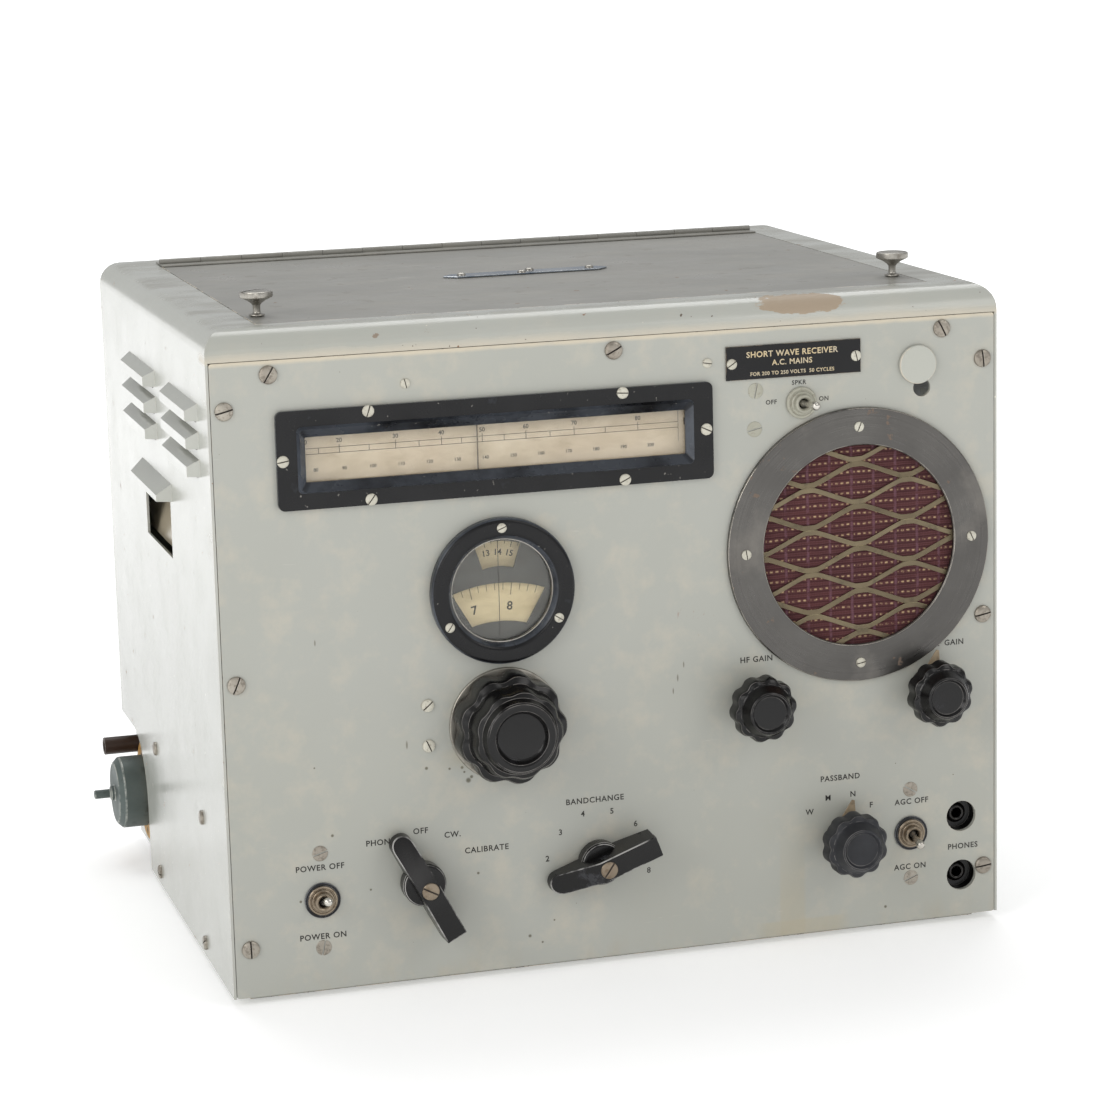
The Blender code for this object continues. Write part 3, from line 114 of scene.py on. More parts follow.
for index, (place, size, power, colour, target) in enumerate(studio["lamps"]):
    bpy.ops.object.light_add(type="AREA", location=place)
    lamp = bpy.context.object
    lamp.name = f"softbox{index}"
    lamp.data.shape = "RECTANGLE"
    lamp.data.size, lamp.data.size_y = size
    lamp.data.energy = power
    lamp.data.color = colour
    lamp.rotation_euler = (Vector(target) - Vector(place)).to_track_quat("-Z", "Y").to_euler()
print("studio ready")


# modelling helpers
def pick(*pieces):
    bpy.ops.object.select_all(action="DESELECT")
    for piece in pieces:
        piece.select_set(True)
    bpy.context.view_layer.objects.active = pieces[0]


def leave():
    bpy.ops.object.mode_set(mode="OBJECT")


def settle(piece):  # the place goes into the mesh
    pick(piece)
    bpy.ops.object.transform_apply(location=True, rotation=True, scale=True)
    return piece


def choose(piece, kind, test):
    # selects vertices by place, edges by their two ends, or faces by centre and normal
    pick(piece)
    bpy.ops.object.mode_set(mode="EDIT")
    bpy.ops.mesh.select_mode(type=kind)
    bpy.ops.mesh.select_all(action="DESELECT")
    leave()
    mesh = piece.data
    if kind == "VERT":
        for vertex in mesh.vertices:
            vertex.select = test(vertex.co)
    elif kind == "EDGE":
        for edge in mesh.edges:
            edge.select = test(*[mesh.vertices[i].co for i in edge.vertices])
    else:
        for face in mesh.polygons:
            face.select = test(face.center, face.normal)
    bpy.ops.object.mode_set(mode="EDIT")


def plate(name, size, centre):
    bpy.ops.object.select_all(action="DESELECT")
    bpy.ops.mesh.primitive_cube_add(size=1, location=centre)
    piece = bpy.context.object
    piece.name = name
    piece.scale = size
    return settle(piece)


def drum(name, radius, length, centre, turn=(math.pi / 2, 0, 0), sides=48):
    bpy.ops.object.select_all(action="DESELECT")
    bpy.ops.mesh.primitive_cylinder_add(
        vertices=sides, radius=radius, depth=length, location=centre, rotation=turn
    )
    piece = bpy.context.object
    piece.name = name
    return settle(piece)


def roundCorners(piece, radius, steps, test):
    choose(piece, "EDGE", test)
    bpy.ops.mesh.bevel(offset=radius, segments=steps, affect="EDGES")
    leave()


def lathe(name, profile, steps=64):
    # profile: (radius, height) in millimetres, spun about Z at the origin
    bpy.ops.object.select_all(action="DESELECT")
    bpy.ops.mesh.primitive_plane_add(size=mm, location=(0, 0, 0))
    piece = bpy.context.object
    piece.name = name
    bpy.ops.object.mode_set(mode="EDIT")
    bpy.ops.mesh.select_mode(type="VERT")
    bpy.ops.mesh.select_all(action="SELECT")
    bpy.ops.mesh.merge(type="CENTER")
    bpy.ops.transform.translate(value=(profile[0][0] * mm, 0, profile[0][1] * mm))
    for (r0, h0), (r1, h1) in zip(profile, profile[1:]):
        bpy.ops.mesh.extrude_vertices_move(
            TRANSFORM_OT_translate={"value": ((r1 - r0) * mm, 0, (h1 - h0) * mm)}
        )
    bpy.ops.mesh.select_all(action="SELECT")
    bpy.ops.mesh.spin(steps=steps, angle=2 * math.pi, center=(0, 0, 0), axis=(0, 0, 1))
    bpy.ops.mesh.select_all(action="SELECT")
    bpy.ops.mesh.remove_doubles(threshold=0.001 * mm)
    bpy.ops.mesh.normals_make_consistent(inside=False)
    leave()
    return piece


outward = (math.pi / 2, 0, 0)  # turns +Z to face out of the front panel
leftward = (0, -math.pi / 2, 0)  # and out of the left side


def stand(piece, centre, turn=outward):
    piece.rotation_euler = turn
    piece.location = centre
    return settle(piece)


def carve(piece, cutter, operation="DIFFERENCE"):
    change = piece.modifiers.new("carve", "BOOLEAN")
    change.operation = operation
    change.object = cutter
    change.solver = "EXACT"
    pick(piece)
    bpy.ops.object.modifier_apply(modifier=change.name)
    bpy.data.objects.remove(cutter)
    return piece


def copyOf(piece, name=None):
    twin = piece.copy()
    twin.data = piece.data.copy()
    bpy.context.scene.collection.objects.link(twin)
    if name:
        twin.name = name
    return twin


def join(name, pieces):
    pick(*pieces)
    if len(pieces) > 1:
        bpy.ops.object.join()
    whole = bpy.context.object
    whole.name = name
    return settle(whole)


def easeEdges(piece, width, steps=2, angle=32, smooth=40):
    # bevels the sharp edges and marks the new faces, which is where the finish wears through and where the
    # black parts get a painted rim highlight
    if not piece.data.materials:
        piece.data.materials.append(None)
        piece.data.materials.append(None)
    change = piece.modifiers.new("edges", "BEVEL")
    change.width = width
    change.segments = steps
    change.limit_method = "ANGLE"
    change.angle_limit = math.radians(angle)
    change.material = 1
    change.miter_outer = "MITER_ARC"
    pick(piece)
    bpy.ops.object.modifier_apply(modifier=change.name)
    wornAndLitEdges = piece.data.attributes.new("wear", "FLOAT", "FACE")
    for face in piece.data.polygons:
        wornAndLitEdges.data[face.index].value = float(face.material_index == 1)
        face.material_index = 0
    piece.data.materials.clear()
    bpy.ops.object.shade_smooth_by_angle(angle=math.radians(smooth))
    even = piece.modifiers.new("even", "WEIGHTED_NORMAL")
    even.keep_sharp = True
    even.weight = 90
    bpy.ops.object.modifier_apply(modifier=even.name)
    return piece


def smooth(piece, angle=40):
    pick(piece)
    bpy.ops.object.shade_smooth_by_angle(angle=math.radians(angle))
    return piece


def skinOf(nodeName, name, edge=0.4 * mm, steps=2, angle=32, flatten=True):
    # a finer skin over a CAD node: its merged copy with eased edges
    skin = cadNodes[nodeName].copy()
    skin.data = cadNodes[nodeName].data.copy()
    for key in list(skin.keys()):
        del skin[key]
    skin.parent = None
    skin.name = name
    bpy.context.scene.collection.objects.link(skin)
    skin.data.materials.clear()
    pick(skin)
    bpy.ops.mesh.customdata_custom_splitnormals_clear()
    bpy.ops.object.mode_set(mode="EDIT")
    bpy.ops.mesh.select_all(action="SELECT")
    bpy.ops.mesh.remove_doubles(threshold=0.004 * mm)
    if flatten:
        bpy.ops.mesh.dissolve_limited(angle_limit=math.radians(0.6))
    leave()
    easeEdges(skin, edge, steps, angle)
    return skin


def deliver(piece, body, slot, finish, *stands):
    piece.data.materials.clear()
    piece.data.materials.append(finish)
    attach(piece, body)
    if stands:
        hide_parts(*stands)
    return piece


# finishes
def tone(code):  # an sRGB hex code to linear
    parts = [int(code[i : i + 2], 16) / 255 for i in (0, 2, 4)]
    return tuple(c / 12.92 if c < 0.04045 else ((c + 0.055) / 1.055) ** 2.4 for c in parts) + (1.0,)


def put(tree, kind, inputs=(), **settings):
    node = tree.nodes.new("ShaderNode" + kind)
    for key, value in settings.items():
        setattr(node, key, value)
    for key, value in dict(inputs).items():
        if isinstance(value, bpy.types.NodeSocket):
            tree.links.new(value, node.inputs[key])
        else:
            node.inputs[key].default_value = value
    return node


def blend(tree, factor, a, b):
    return put(tree, "Mix", {0: factor, 6: a, 7: b}, data_type="RGBA").outputs[2]


def blendValue(tree, factor, a, b):
    return put(tree, "Mix", {0: factor, 2: a, 3: b}, data_type="FLOAT").outputs[0]


def ramp(tree, value, low, high, start=0.0, end=1.0):
    inputs = {"Value": value, "From Min": low, "From Max": high, "To Min": start, "To Max": end}
    return put(tree, "MapRange", inputs).outputs[0]


def sums(tree, operation, a, b):
    return put(tree, "Math", {0: a, 1: b}, operation=operation).outputs[0]


def grain(tree, scale, detail=3.0, rough=0.55, stretch=None, shift=(0, 0, 0)):
    place = put(tree, "TexCoord").outputs["Object"]
    if stretch or any(shift):
        place = put(tree, "Mapping", {0: place, 1: shift, 3: stretch or (1, 1, 1)}).outputs[0]
    inputs = {"Vector": place, "Scale": scale, "Detail": detail, "Roughness": rough}
    return put(tree, "TexNoise", inputs).outputs["Fac"]


def maskOf(tree, kind, **a):
    if kind == "noise":  # scale, low, high
        value = grain(
            tree, a["scale"], a.get("detail", 3), 0.6, a.get("stretch"), a.get("shift", (0, 0, 0))
        )
        return ramp(tree, value, a["low"], a["high"])
    # worn edges; on the black parts they also carry a painted rim highlight
    if kind == "edge":  # the marked edges, broken up by noise
        wornAndLitEdges = put(tree, "Attribute", attribute_name="wear").outputs["Fac"]
        broken = ramp(tree, grain(tree, a.get("scale", 90), 4, 0.65), a.get("low", 0.4), a.get("high", 0.6))
        return sums(tree, "MULTIPLY", wornAndLitEdges, broken)
    if kind == "spot":  # a ragged patch at a place
        place = put(tree, "TexCoord").outputs["Object"]
        away = put(tree, "VectorMath", {0: place, 1: a["at"]}, operation="SUBTRACT").outputs[0]
        away = put(tree, "VectorMath", {0: away, 1: a["size"]}, operation="DIVIDE").outputs[0]
        away = put(tree, "VectorMath", {0: away}, operation="LENGTH").outputs["Value"]
        rag = sums(
            tree,
            "MULTIPLY",
            grain(tree, a.get("scale", 120), 5, 0.7, a.get("stretch")),
            a.get("rag", 1.5),
        )
        near = sums(tree, "SUBTRACT", sums(tree, "ADD", rag, 1 - a.get("rag", 1.5) / 2), away)
        return ramp(tree, near, 0.0, a.get("soft", 0.15))
    # the slot's faces, which carry painted shade
    if kind == "slot":  # the floor and walls of a screw's slot
        return put(tree, "Attribute", attribute_name="slot").outputs["Fac"]
    # sloping faces, where a reflection is painted on the black parts
    if kind == "lean":  # faces that slope away from the panel
        facing = put(tree, "SeparateXYZ", {0: put(tree, "TexCoord").outputs["Normal"]}).outputs["Y"]
        return ramp(tree, sums(tree, "ABSOLUTE", facing, 0), 0.85, 0.7)
    if kind == "dots":  # small marks on the panel: u, v and radius in millimetres
        place = put(tree, "TexCoord").outputs["Object"]
        value = None
        for u, v, radius in a["spots"]:
            away = put(tree, "VectorMath", {0: place, 1: onPanel(u, v)}, operation="SUBTRACT").outputs[0]
            squash = (1, 0.2, a.get("tall", 1.0))
            away = put(tree, "VectorMath", {0: away, 1: squash}, operation="MULTIPLY").outputs[0]
            away = put(tree, "VectorMath", {0: away}, operation="LENGTH").outputs["Value"]
            near = ramp(tree, away, radius * mm, 0.45 * radius * mm)
            value = near if value is None else sums(tree, "MAXIMUM", value, near)
        return value
    place = put(tree, "TexCoord").outputs["Object"]
    line = put(tree, "SeparateXYZ", {0: place}).outputs["xyz".index(a["axis"])]
    if kind == "lines":  # evenly spaced bands, pitch in millimetres, width as a part of it
        turns = sums(tree, "MULTIPLY", line, 1 / (a["pitch"] * mm))
        if a.get("wave"):
            drift = sums(tree, "SUBTRACT", grain(tree, 110, 3), 0.5)
            turns = sums(tree, "ADD", turns, sums(tree, "MULTIPLY", drift, a["wave"] / a["pitch"] * 2))
        place = sums(tree, "FRACT", sums(tree, "ADD", turns, a.get("shift", 0.0)), 0.0)
        away = sums(tree, "ABSOLUTE", sums(tree, "SUBTRACT", place, 0.5), 0.0)
        return ramp(tree, away, a["width"] / 2 + a["soft"] / 2, a["width"] / 2 - a["soft"] / 2)
    # a band along one axis
    value = ramp(tree, line, a["start"], a["end"])
    if a.get("rag"):
        rag = sums(
            tree,
            "MULTIPLY",
            sums(tree, "SUBTRACT", grain(tree, a.get("scale", 60), 5, 0.65, a.get("stretch")), 0.5),
            a["rag"],
        )
        value = put(tree, "Math", {0: value, 1: rag}, operation="ADD", use_clamp=True).outputs[0]
    return value


def makeFinish(name, look):
    # base colour and its drift, then layers, each with masks, a colour and perhaps its own
    # roughness and metal
    material = bpy.data.materials.new(name)
    material.use_nodes = True
    tree = material.node_tree
    shader = tree.nodes["Principled BSDF"]
    drift = ramp(tree, grain(tree, look.get("driftScale", 9), 4), 0.3, 0.7)
    colour = blend(tree, drift, tone(look["colour"]), tone(look.get("drift", look["colour"])))
    low, high = look["rough"]
    rough = ramp(
        tree, grain(tree, look.get("roughScale", 35), 5, 0.6, look.get("stretch")), 0.3, 0.7, low, high
    )
    metal = look.get("metal", 0.0)
    height = grain(tree, look.get("bumpScale", 400), 4, 0.6, look.get("stretch"))
    if look.get("rings"):  # turning marks about an axis through a point
        x, z, scale = look["rings"]
        place = put(tree, "TexCoord").outputs["Object"]
        away = put(tree, "VectorMath", {0: place, 1: (x, 0, z)}, operation="SUBTRACT").outputs[0]
        away = put(tree, "VectorMath", {0: away, 1: (1, 0, 1)}, operation="MULTIPLY").outputs[0]
        radius = put(tree, "VectorMath", {0: away}, operation="LENGTH").outputs["Value"]
        marks = put(tree, "TexNoise", {"W": radius, "Scale": scale, "Detail": 4.0}, noise_dimensions="1D")
        height = sums(tree, "ADD", height, marks.outputs["Fac"])
        rough = sums(tree, "ADD", rough, ramp(tree, marks.outputs["Fac"], 0.3, 0.7, -0.06, 0.06))
    for layer in look.get("layers", ()):
        mask = None
        for kind, settings in layer["masks"]:
            found = maskOf(tree, kind, **settings)
            mask = found if mask is None else sums(tree, "MULTIPLY", mask, found)
        if layer.get("amount", 1) != 1:
            mask = sums(tree, "MULTIPLY", mask, layer["amount"])
        colour = blend(tree, mask, colour, tone(layer["colour"]))
        if "rough" in layer:
            rough = blendValue(tree, mask, rough, layer["rough"])
        if "metal" in layer:
            metal = blendValue(tree, mask, metal, layer["metal"])
        if "lift" in layer:
            height = sums(tree, "ADD", height, sums(tree, "MULTIPLY", mask, layer["lift"]))
    tree.links.new(colour, shader.inputs["Base Color"])
    tree.links.new(rough, shader.inputs["Roughness"])
    if isinstance(metal, bpy.types.NodeSocket):
        tree.links.new(metal, shader.inputs["Metallic"])
    else:
        shader.inputs["Metallic"].default_value = metal
    bump = put(
        tree,
        "Bump",
        {
            "Height": height,
            "Strength": look.get("bump", 0.3),
            "Distance": look.get("bumpDepth", 0.1 * mm),
        },
    )
    tree.links.new(bump.outputs[0], shader.inputs["Normal"])
    shader.inputs["Specular IOR Level"].default_value = look.get("shine", 0.5)
    shader.inputs["Coat Weight"].default_value = look.get("coat", 0.0)
    shader.inputs["Coat Roughness"].default_value = 0.2
    return material


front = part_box("front_panel")[0].y
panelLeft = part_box("front_panel")[0].x
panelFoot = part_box("front_panel")[0].z


def onPanel(u, v, out=0.0):  # millimetres from the panel's lower left corner
    return Vector((panelLeft + u * mm, front - out * mm, panelFoot + v * mm))


def midOf(nodeName):
    low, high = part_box(nodeName)
    return (low + high) / 2


# what a layer of wear, stain or painted light covers; the first values are the ones maskOf needs
def mottle(scale, low, high, **more):
    return "noise", dict(scale=scale, low=low, high=high, **more)


def wear(low, high, **more):
    return "edge", dict(low=low, high=high, **more)


def patch(at, size, **more):
    return "spot", dict(at=at, size=size, **more)


def belt(axis, start, end, **more):
    return "band", dict(axis=axis, start=start, end=end, **more)


def stripes(axis, pitch, width, **more):
    return "lines", dict(axis=axis, pitch=pitch, width=width, **more)


def dots(spots, **more):
    return "dots", dict(spots=spots, **more)


def slope():
    return "lean", {}


def cut():
    return "slot", {}


def layer(colour, *masks, **more):
    return {"colour": colour, "masks": masks, **more}


# wear that several finishes share
specks = layer("5d5246", mottle(310, 0.735, 0.76, detail=2), rough=0.6)
paleSpecks = layer("d9d4c6", mottle(240, 0.745, 0.77, detail=2, shift=(3, 1, 2)))
fineSpecks = layer("6b6557", mottle(260, 0.765, 0.785, detail=2), rough=0.6)
rustDots = layer("7a5a41", mottle(120, 0.745, 0.765, detail=2, shift=(5, 0, 1)), rough=0.75)
hairlines = layer(
    "cfcdc2", mottle(26, 0.69, 0.71, stretch=(1, 1, 14)), mottle(14, 0.5, 0.62), amount=0.3
)
paintEdge = layer("c9bfae", wear(0.47, 0.56, scale=70), rough=0.5)
chippedEdge = layer("5f564c", wear(0.6, 0.64, scale=130), rough=0.6, metal=0.5)

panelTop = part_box("front_panel")[1].z
panelLook = {
    "colour": "a8a9a2",
    "drift": "a5a69e",
    "driftScale": 6,
    "rough": (0.36, 0.48),
    "bump": 0.1,
    "bumpScale": 260,
    "layers": [
        layer("aeab9e", mottle(5, 0.5, 0.8, detail=5), amount=0.16),
        layer(
            "c4bba8", belt("z", panelTop - 3.2 * mm, panelTop - 1.2 * mm, rag=1.6, scale=45), rough=0.6
        ),
        # thin runs of old varnish under the small knobs
        layer(
            "aca48e",
            belt("x", 100 * mm, 101.5 * mm, rag=0.5, scale=12),
            belt("x", 118 * mm, 116 * mm, rag=0.8, scale=12),
            belt("z", 80 * mm, 30 * mm, rag=0.5, scale=20),
            amount=0.45,
        ),
        layer(
            "aca48e",
            belt("x", 84 * mm, 92 * mm, rag=0.6, scale=30),
            belt("x", 148 * mm, 138 * mm, rag=0.6, scale=30),
            belt("z", 15 * mm, 13.5 * mm, rag=0.9, scale=30),
            amount=0.5,
        ),
        # chips and spots, each at its place
        layer(
            "55503f",
            dots([
                (121.2, 131, 1.3), (143.3, 129.3, 1.2), (135.5, 129.3, 1.0), (144.6, 126.4, 0.9),
                (52.6, 138, 0.7), (61.9, 95.3, 1.2), (41, 56.4, 1.1), (84.2, 59.2, 0.9),
                (151.3, 62.2, 1.1), (182.8, 18.7, 1.3), (190.7, 13.9, 0.9), (198.6, 27.1, 0.8),
                (147, 121, 2.0), (149, 123, 1.3), (416, 11, 1.2),
            ]),
            amount=0.85,
            rough=0.7,
        ),
        layer(
            "5f5949",
            dots(
                [
                    (109.6, 146.6, 0.8), (281, 172, 0.7), (278, 164, 0.6), (285, 180, 0.6),
                    (56, 214, 0.6),
                ],
                tall=0.25,
            ),
            amount=0.7,
        ),
        layer(
            "977f70",
            patch(onPanel(288, 206), (22 * mm, 20 * mm, 10 * mm), rag=0.6, scale=60, soft=0.3),
            mottle(210, 0.6, 0.66, stretch=(1, 1, 0.45), shift=(2, 0, 1)),
            amount=0.7,
            rough=0.6,
        ),
        layer(
            "a99f86",
            patch(onPanel(143, 136), (14 * mm, 20 * mm, 9 * mm), rag=1.2, scale=60, soft=0.9),
            amount=0.4,
        ),
        layer(
            "b1afa4",
            patch(onPanel(430, 300), (60 * mm, 20 * mm, 46 * mm), rag=1.0, scale=50, soft=1.2),
            amount=0.3,
        ),
        layer(
            "a79f8d",
            belt("z", 26 * mm, 9 * mm, rag=0.9, scale=30),
            mottle(60, 0.5, 0.7, stretch=(1, 1, 0.4)),
            amount=0.35,
        ),
        fineSpecks,
        hairlines,
        paintEdge,
        chippedEdge,
    ],
}
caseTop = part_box("cabinet_shell")[1].z
caseLook = {
    "colour": "adaea7",
    "drift": "a9aaa2",
    "rough": (0.15, 0.26),
    "bump": 0.08,
    "bumpScale": 60,
    "shine": 0.55,
    "coat": 0.15,
    "layers": [
        # the flat top is duller and scratched through
        layer(
            "8b8981",
            belt("z", caseTop - 2 * mm, caseTop - 0.5 * mm),
            mottle(18, 0.42, 0.62, detail=6, stretch=(1, 3, 1)),
            amount=0.75,
            rough=0.45,
        ),
        # bare primer on the nose above the plate
        layer(
            "9f8f7b",
            patch(
                (122 * mm, -184 * mm, 401 * mm),
                (30 * mm, 11 * mm, 7 * mm),
                rag=1.3,
                scale=75,
                soft=0.05,
                stretch=(0.7, 1.6, 1.6),
            ),
            rough=0.65,
            lift=-2,
        ),
        layer(
            "c2b9a7",
            belt("z", caseTop - 19.5 * mm, caseTop - 17.8 * mm, rag=1.2, scale=30),
            belt("z", caseTop - 12 * mm, caseTop - 16.5 * mm, rag=1.2, scale=24),
            belt("y", -170 * mm, -178 * mm),
            amount=0.7,
            rough=0.5,
        ),
        layer("8b7d6e", mottle(60, 0.7, 0.72, detail=6, shift=(1, 4, 0)), rough=0.6),
        specks,
        paleSpecks,
        rustDots,
        paintEdge,
        chippedEdge,
    ],
}
lidLook = {
    "colour": "84837d",
    "drift": "8e8c85",
    "driftScale": 14,
    "rough": (0.26, 0.44),
    "bump": 0.25,
    "bumpScale": 160,
    "layers": [
        layer("938f86", mottle(24, 0.52, 0.6, detail=7, stretch=(1, 2.4, 1)), amount=0.35),
        layer("b5b2a9", mottle(30, 0.68, 0.7, stretch=(1, 9, 1)), amount=0.6),
        layer("6e675d", mottle(52, 0.62, 0.66, detail=6, shift=(2, 2, 2)), rough=0.6, amount=0.3),
        layer("74726c", mottle(7, 0.4, 0.7, detail=6, stretch=(1, 2, 1)), amount=0.5, rough=0.3),
        rustDots,
        paintEdge,
        chippedEdge,
    ],
}
blackLook = {
    "colour": "08080a",
    "drift": "0e0e10",
    "rough": (0.2, 0.36),
    "bump": 0.12,
    "bumpScale": 300,
    "shine": 0.3,
    "layers": [
        layer("3c4046", mottle(70, 0.64, 0.72, detail=5), amount=0.4, rough=0.5),
        layer("8a8780", mottle(300, 0.72, 0.75, detail=2), amount=0.6),
        # painted reflection: the sloping faces of the black frames turn a lighter grey-blue
        layer("565b63", slope(), mottle(30, 0.3, 0.6, detail=5), amount=0.7),
        # worn edges, which also stand in as a painted rim highlight on the black
        layer("85868a", wear(0.42, 0.55, scale=60), rough=0.35, metal=0.2, amount=0.6),
    ],
}
bakeliteLook = {
    "colour": "090808",
    "drift": "0e0d0d",
    "rough": (0.16, 0.3),
    "bump": 0.08,
    "bumpScale": 240,
    "shine": 0.35,
    "layers": [
        layer("2c2b30", mottle(90, 0.62, 0.74, detail=5), amount=0.35, rough=0.45),
        # worn edges, which also stand in as a painted rim highlight on the black bakelite
        layer("8f8b87", wear(0.4, 0.6, scale=50), rough=0.35, amount=0.5),
    ],
}
nickelLook = {
    "colour": "a8a59e",
    "drift": "8f8b83",
    "driftScale": 40,
    "rough": (0.2, 0.42),
    "metal": 0.9,
    "bump": 0.2,
    "bumpScale": 300,
    "layers": [layer("6b6258", mottle(260, 0.55, 0.7, detail=5), amount=0.5, rough=0.55, metal=0.5)],
}
panelScrewLook = {
    "colour": "a9a398",
    "drift": "8d857a",
    "driftScale": 60,
    "rough": (0.28, 0.45),
    "metal": 0.8,
    "bump": 0.3,
    "bumpScale": 420,
    "layers": [
        layer("5d5449", mottle(420, 0.5, 0.62, detail=5), amount=0.5, rough=0.65, metal=0.3),
        layer("d2ccc2", wear(0.4, 0.5, scale=300), rough=0.3, amount=0.6),
        # painted shade in the screw slot
        layer("2b231d", cut(), rough=0.8, metal=0.1, amount=0.9),
    ],
}
creamScrewLook = {
    "colour": "c9c6b8",
    "drift": "b4b0a2",
    "driftScale": 60,
    "rough": (0.35, 0.55),
    "metal": 0.15,
    "bump": 0.2,
    "layers": [
        layer("7d7466", mottle(420, 0.56, 0.68, detail=5), amount=0.6),
        # painted shade in the screw slot
        layer("3a3228", cut(), rough=0.8, amount=0.85),
    ],
}
speaker = midOf("speaker_ring")
ringLook = {
    "colour": "62605d",
    "drift": "52504e",
    "driftScale": 16,
    "rough": (0.24, 0.4),
    "metal": 0.92,
    "bump": 0.35,
    "bumpScale": 260,
    "rings": (speaker.x, speaker.z, 900.0),
    "layers": [
        layer("8d8881", mottle(22, 0.55, 0.72, detail=6), amount=0.4, rough=0.45),
        layer(
            "7b6655",
            mottle(95, 0.66, 0.69, detail=5, shift=(2, 0, 7)),
            rough=0.75,
            metal=0.1,
            amount=0.6,
        ),
        layer("c6bfb4", wear(0.35, 0.5, scale=60), rough=0.25, amount=0.7),
    ],
}
tune = midOf("tuning_backplate")
backplateLook = dict(nickelLook, colour="a9a59a", rings=(tune.x, tune.z, 700.0))
grilleLook = {
    "colour": "7b6f57",
    "drift": "685d4a",
    "driftScale": 60,
    "rough": (0.34, 0.55),
    "metal": 0.6,
    "bump": 0.3,
    "layers": [
        layer("4c4433", mottle(180, 0.56, 0.7, detail=5), amount=0.6, metal=0.2),
        layer("b3a983", wear(0.35, 0.5, scale=120), rough=0.3, amount=0.8),
    ],
}
brassLook = dict(
    nickelLook,
    colour="998d7c",
    drift="7f7263",
    layers=[
        layer("6b5a45", mottle(300, 0.5, 0.66, detail=5), amount=0.5, rough=0.6),
        # painted shade in the screw slot
        layer("2b231d", cut(), rough=0.8, metal=0.1, amount=0.9),
    ],
)
cardLook = {
    "colour": "d6cbbb",
    "drift": "cdbfae",
    "driftScale": 26,
    "rough": (0.5, 0.65),
    "bump": 0.1,
    "layers": [layer("a8937c", mottle(45, 0.6, 0.8, detail=5), amount=0.4)],
}
discLook = dict(cardLook, colour="e6d9b8", drift="dccdaa")
maskLook = {
    "colour": "434647",
    "drift": "4c4f51",
    "rough": (0.5, 0.7),
    "bump": 0.15,
    "layers": [
        layer("6a6c6e", mottle(200, 0.68, 0.72, detail=3), amount=0.5),
        layer("8a8578", wear(0.3, 0.5), amount=0.5),
    ],
}
inkLook = {
    "colour": "1d1b19",
    "drift": "2c2925",
    "driftScale": 300,
    "rough": (0.45, 0.6),
    "bump": 0.1,
    "layers": [layer("77746a", mottle(900, 0.6, 0.7, detail=2), amount=0.25)],
}
chassisLook = {
    "colour": "9b9c9c",
    "drift": "8a8b8a",
    "driftScale": 20,
    "rough": (0.35, 0.55),
    "metal": 0.85,
    "bump": 0.25,
    "layers": [
        layer("6f6a60", mottle(60, 0.58, 0.75, detail=6), amount=0.5, rough=0.7, metal=0.4),
        layer("bdbdba", wear(0.3, 0.5), rough=0.3),
    ],
}
steelLook = dict(chassisLook, colour="4c4a48", drift="3d3b3a", metal=0.55)
coneLook = {
    "colour": "3a332c",
    "drift": "2e2822",
    "driftScale": 60,
    "rough": (0.75, 0.9),
    "bump": 0.5,
    "bumpScale": 700,
    "layers": [layer("5a5046", mottle(120, 0.55, 0.75, detail=5), amount=0.4)],
}
yellowLook = {
    "colour": "c08f33",
    "drift": "ad7c28",
    "driftScale": 30,
    "rough": (0.42, 0.62),
    "bump": 0.35,
    "bumpScale": 220,
    "layers": [
        layer("4d4437", mottle(75, 0.57, 0.63, detail=6), rough=0.7, metal=0.2),
        layer("5d5244", wear(0.42, 0.55), rough=0.6),
    ],
}
plugLook = {
    "colour": "5c6663",
    "drift": "4b5452",
    "driftScale": 34,
    "rough": (0.45, 0.65),
    "metal": 0.3,
    "bump": 0.4,
    "bumpScale": 200,
    "layers": [
        layer("383c3a", mottle(80, 0.56, 0.68, detail=6), amount=0.7),
        layer("9a9d97", wear(0.4, 0.55), rough=0.4, metal=0.7),
    ],
}
brownLook = dict(bakeliteLook, colour="3b2a20", drift="2c1f18", rough=(0.3, 0.5))
strapLook = {
    "colour": "5d6c82",
    "drift": "8d97a3",
    "driftScale": 22,
    "rough": (0.14, 0.3),
    "metal": 0.95,
    "bump": 0.15,
    "layers": [
        layer("4e463f", mottle(60, 0.62, 0.7, detail=6), rough=0.6, metal=0.4),
        layer("cfd2d4", wear(0.3, 0.5), rough=0.2),
    ],
}
weave = {"column": 14.4, "row": 6.5, "thread": 1.3}  # millimetres
clothLook = {
    "colour": "553330",
    "drift": "472c2a",
    "driftScale": 40,
    "rough": (0.8, 0.95),
    "bump": 0.8,
    "bumpScale": 900,
    "bumpDepth": 0.3 * mm,
    "shine": 0.2,
    "layers": [
        layer("5f3a40", stripes("z", weave["thread"], 0.5, soft=0.25, wave=0.5), amount=0.6, lift=0.6),
        layer("2a1418", stripes("z", weave["row"] / 2, 0.2, soft=0.2, wave=0.5), amount=0.7),
        layer(
            "37191f",
            stripes("x", weave["thread"] * 0.8, 0.4, soft=0.25, wave=0.4),
            amount=0.35,
            lift=0.5,
        ),
        layer(
            "70505c",
            stripes("x", weave["column"], 0.11, soft=0.05, wave=0.5),
            mottle(300, 0.35, 0.55),
            amount=0.55,
            lift=0.5,
        ),
        layer(
            "bfa27f",
            stripes("x", weave["column"], 0.8, shift=0.5, soft=0.06),
            stripes("x", weave["column"] / 4, 0.5, shift=0.2, soft=0.2, wave=0.7),
            stripes("z", weave["row"], 0.14, soft=0.12, wave=0.6),
            mottle(420, 0.36, 0.55),
            lift=1.5,
        ),
    ],
}
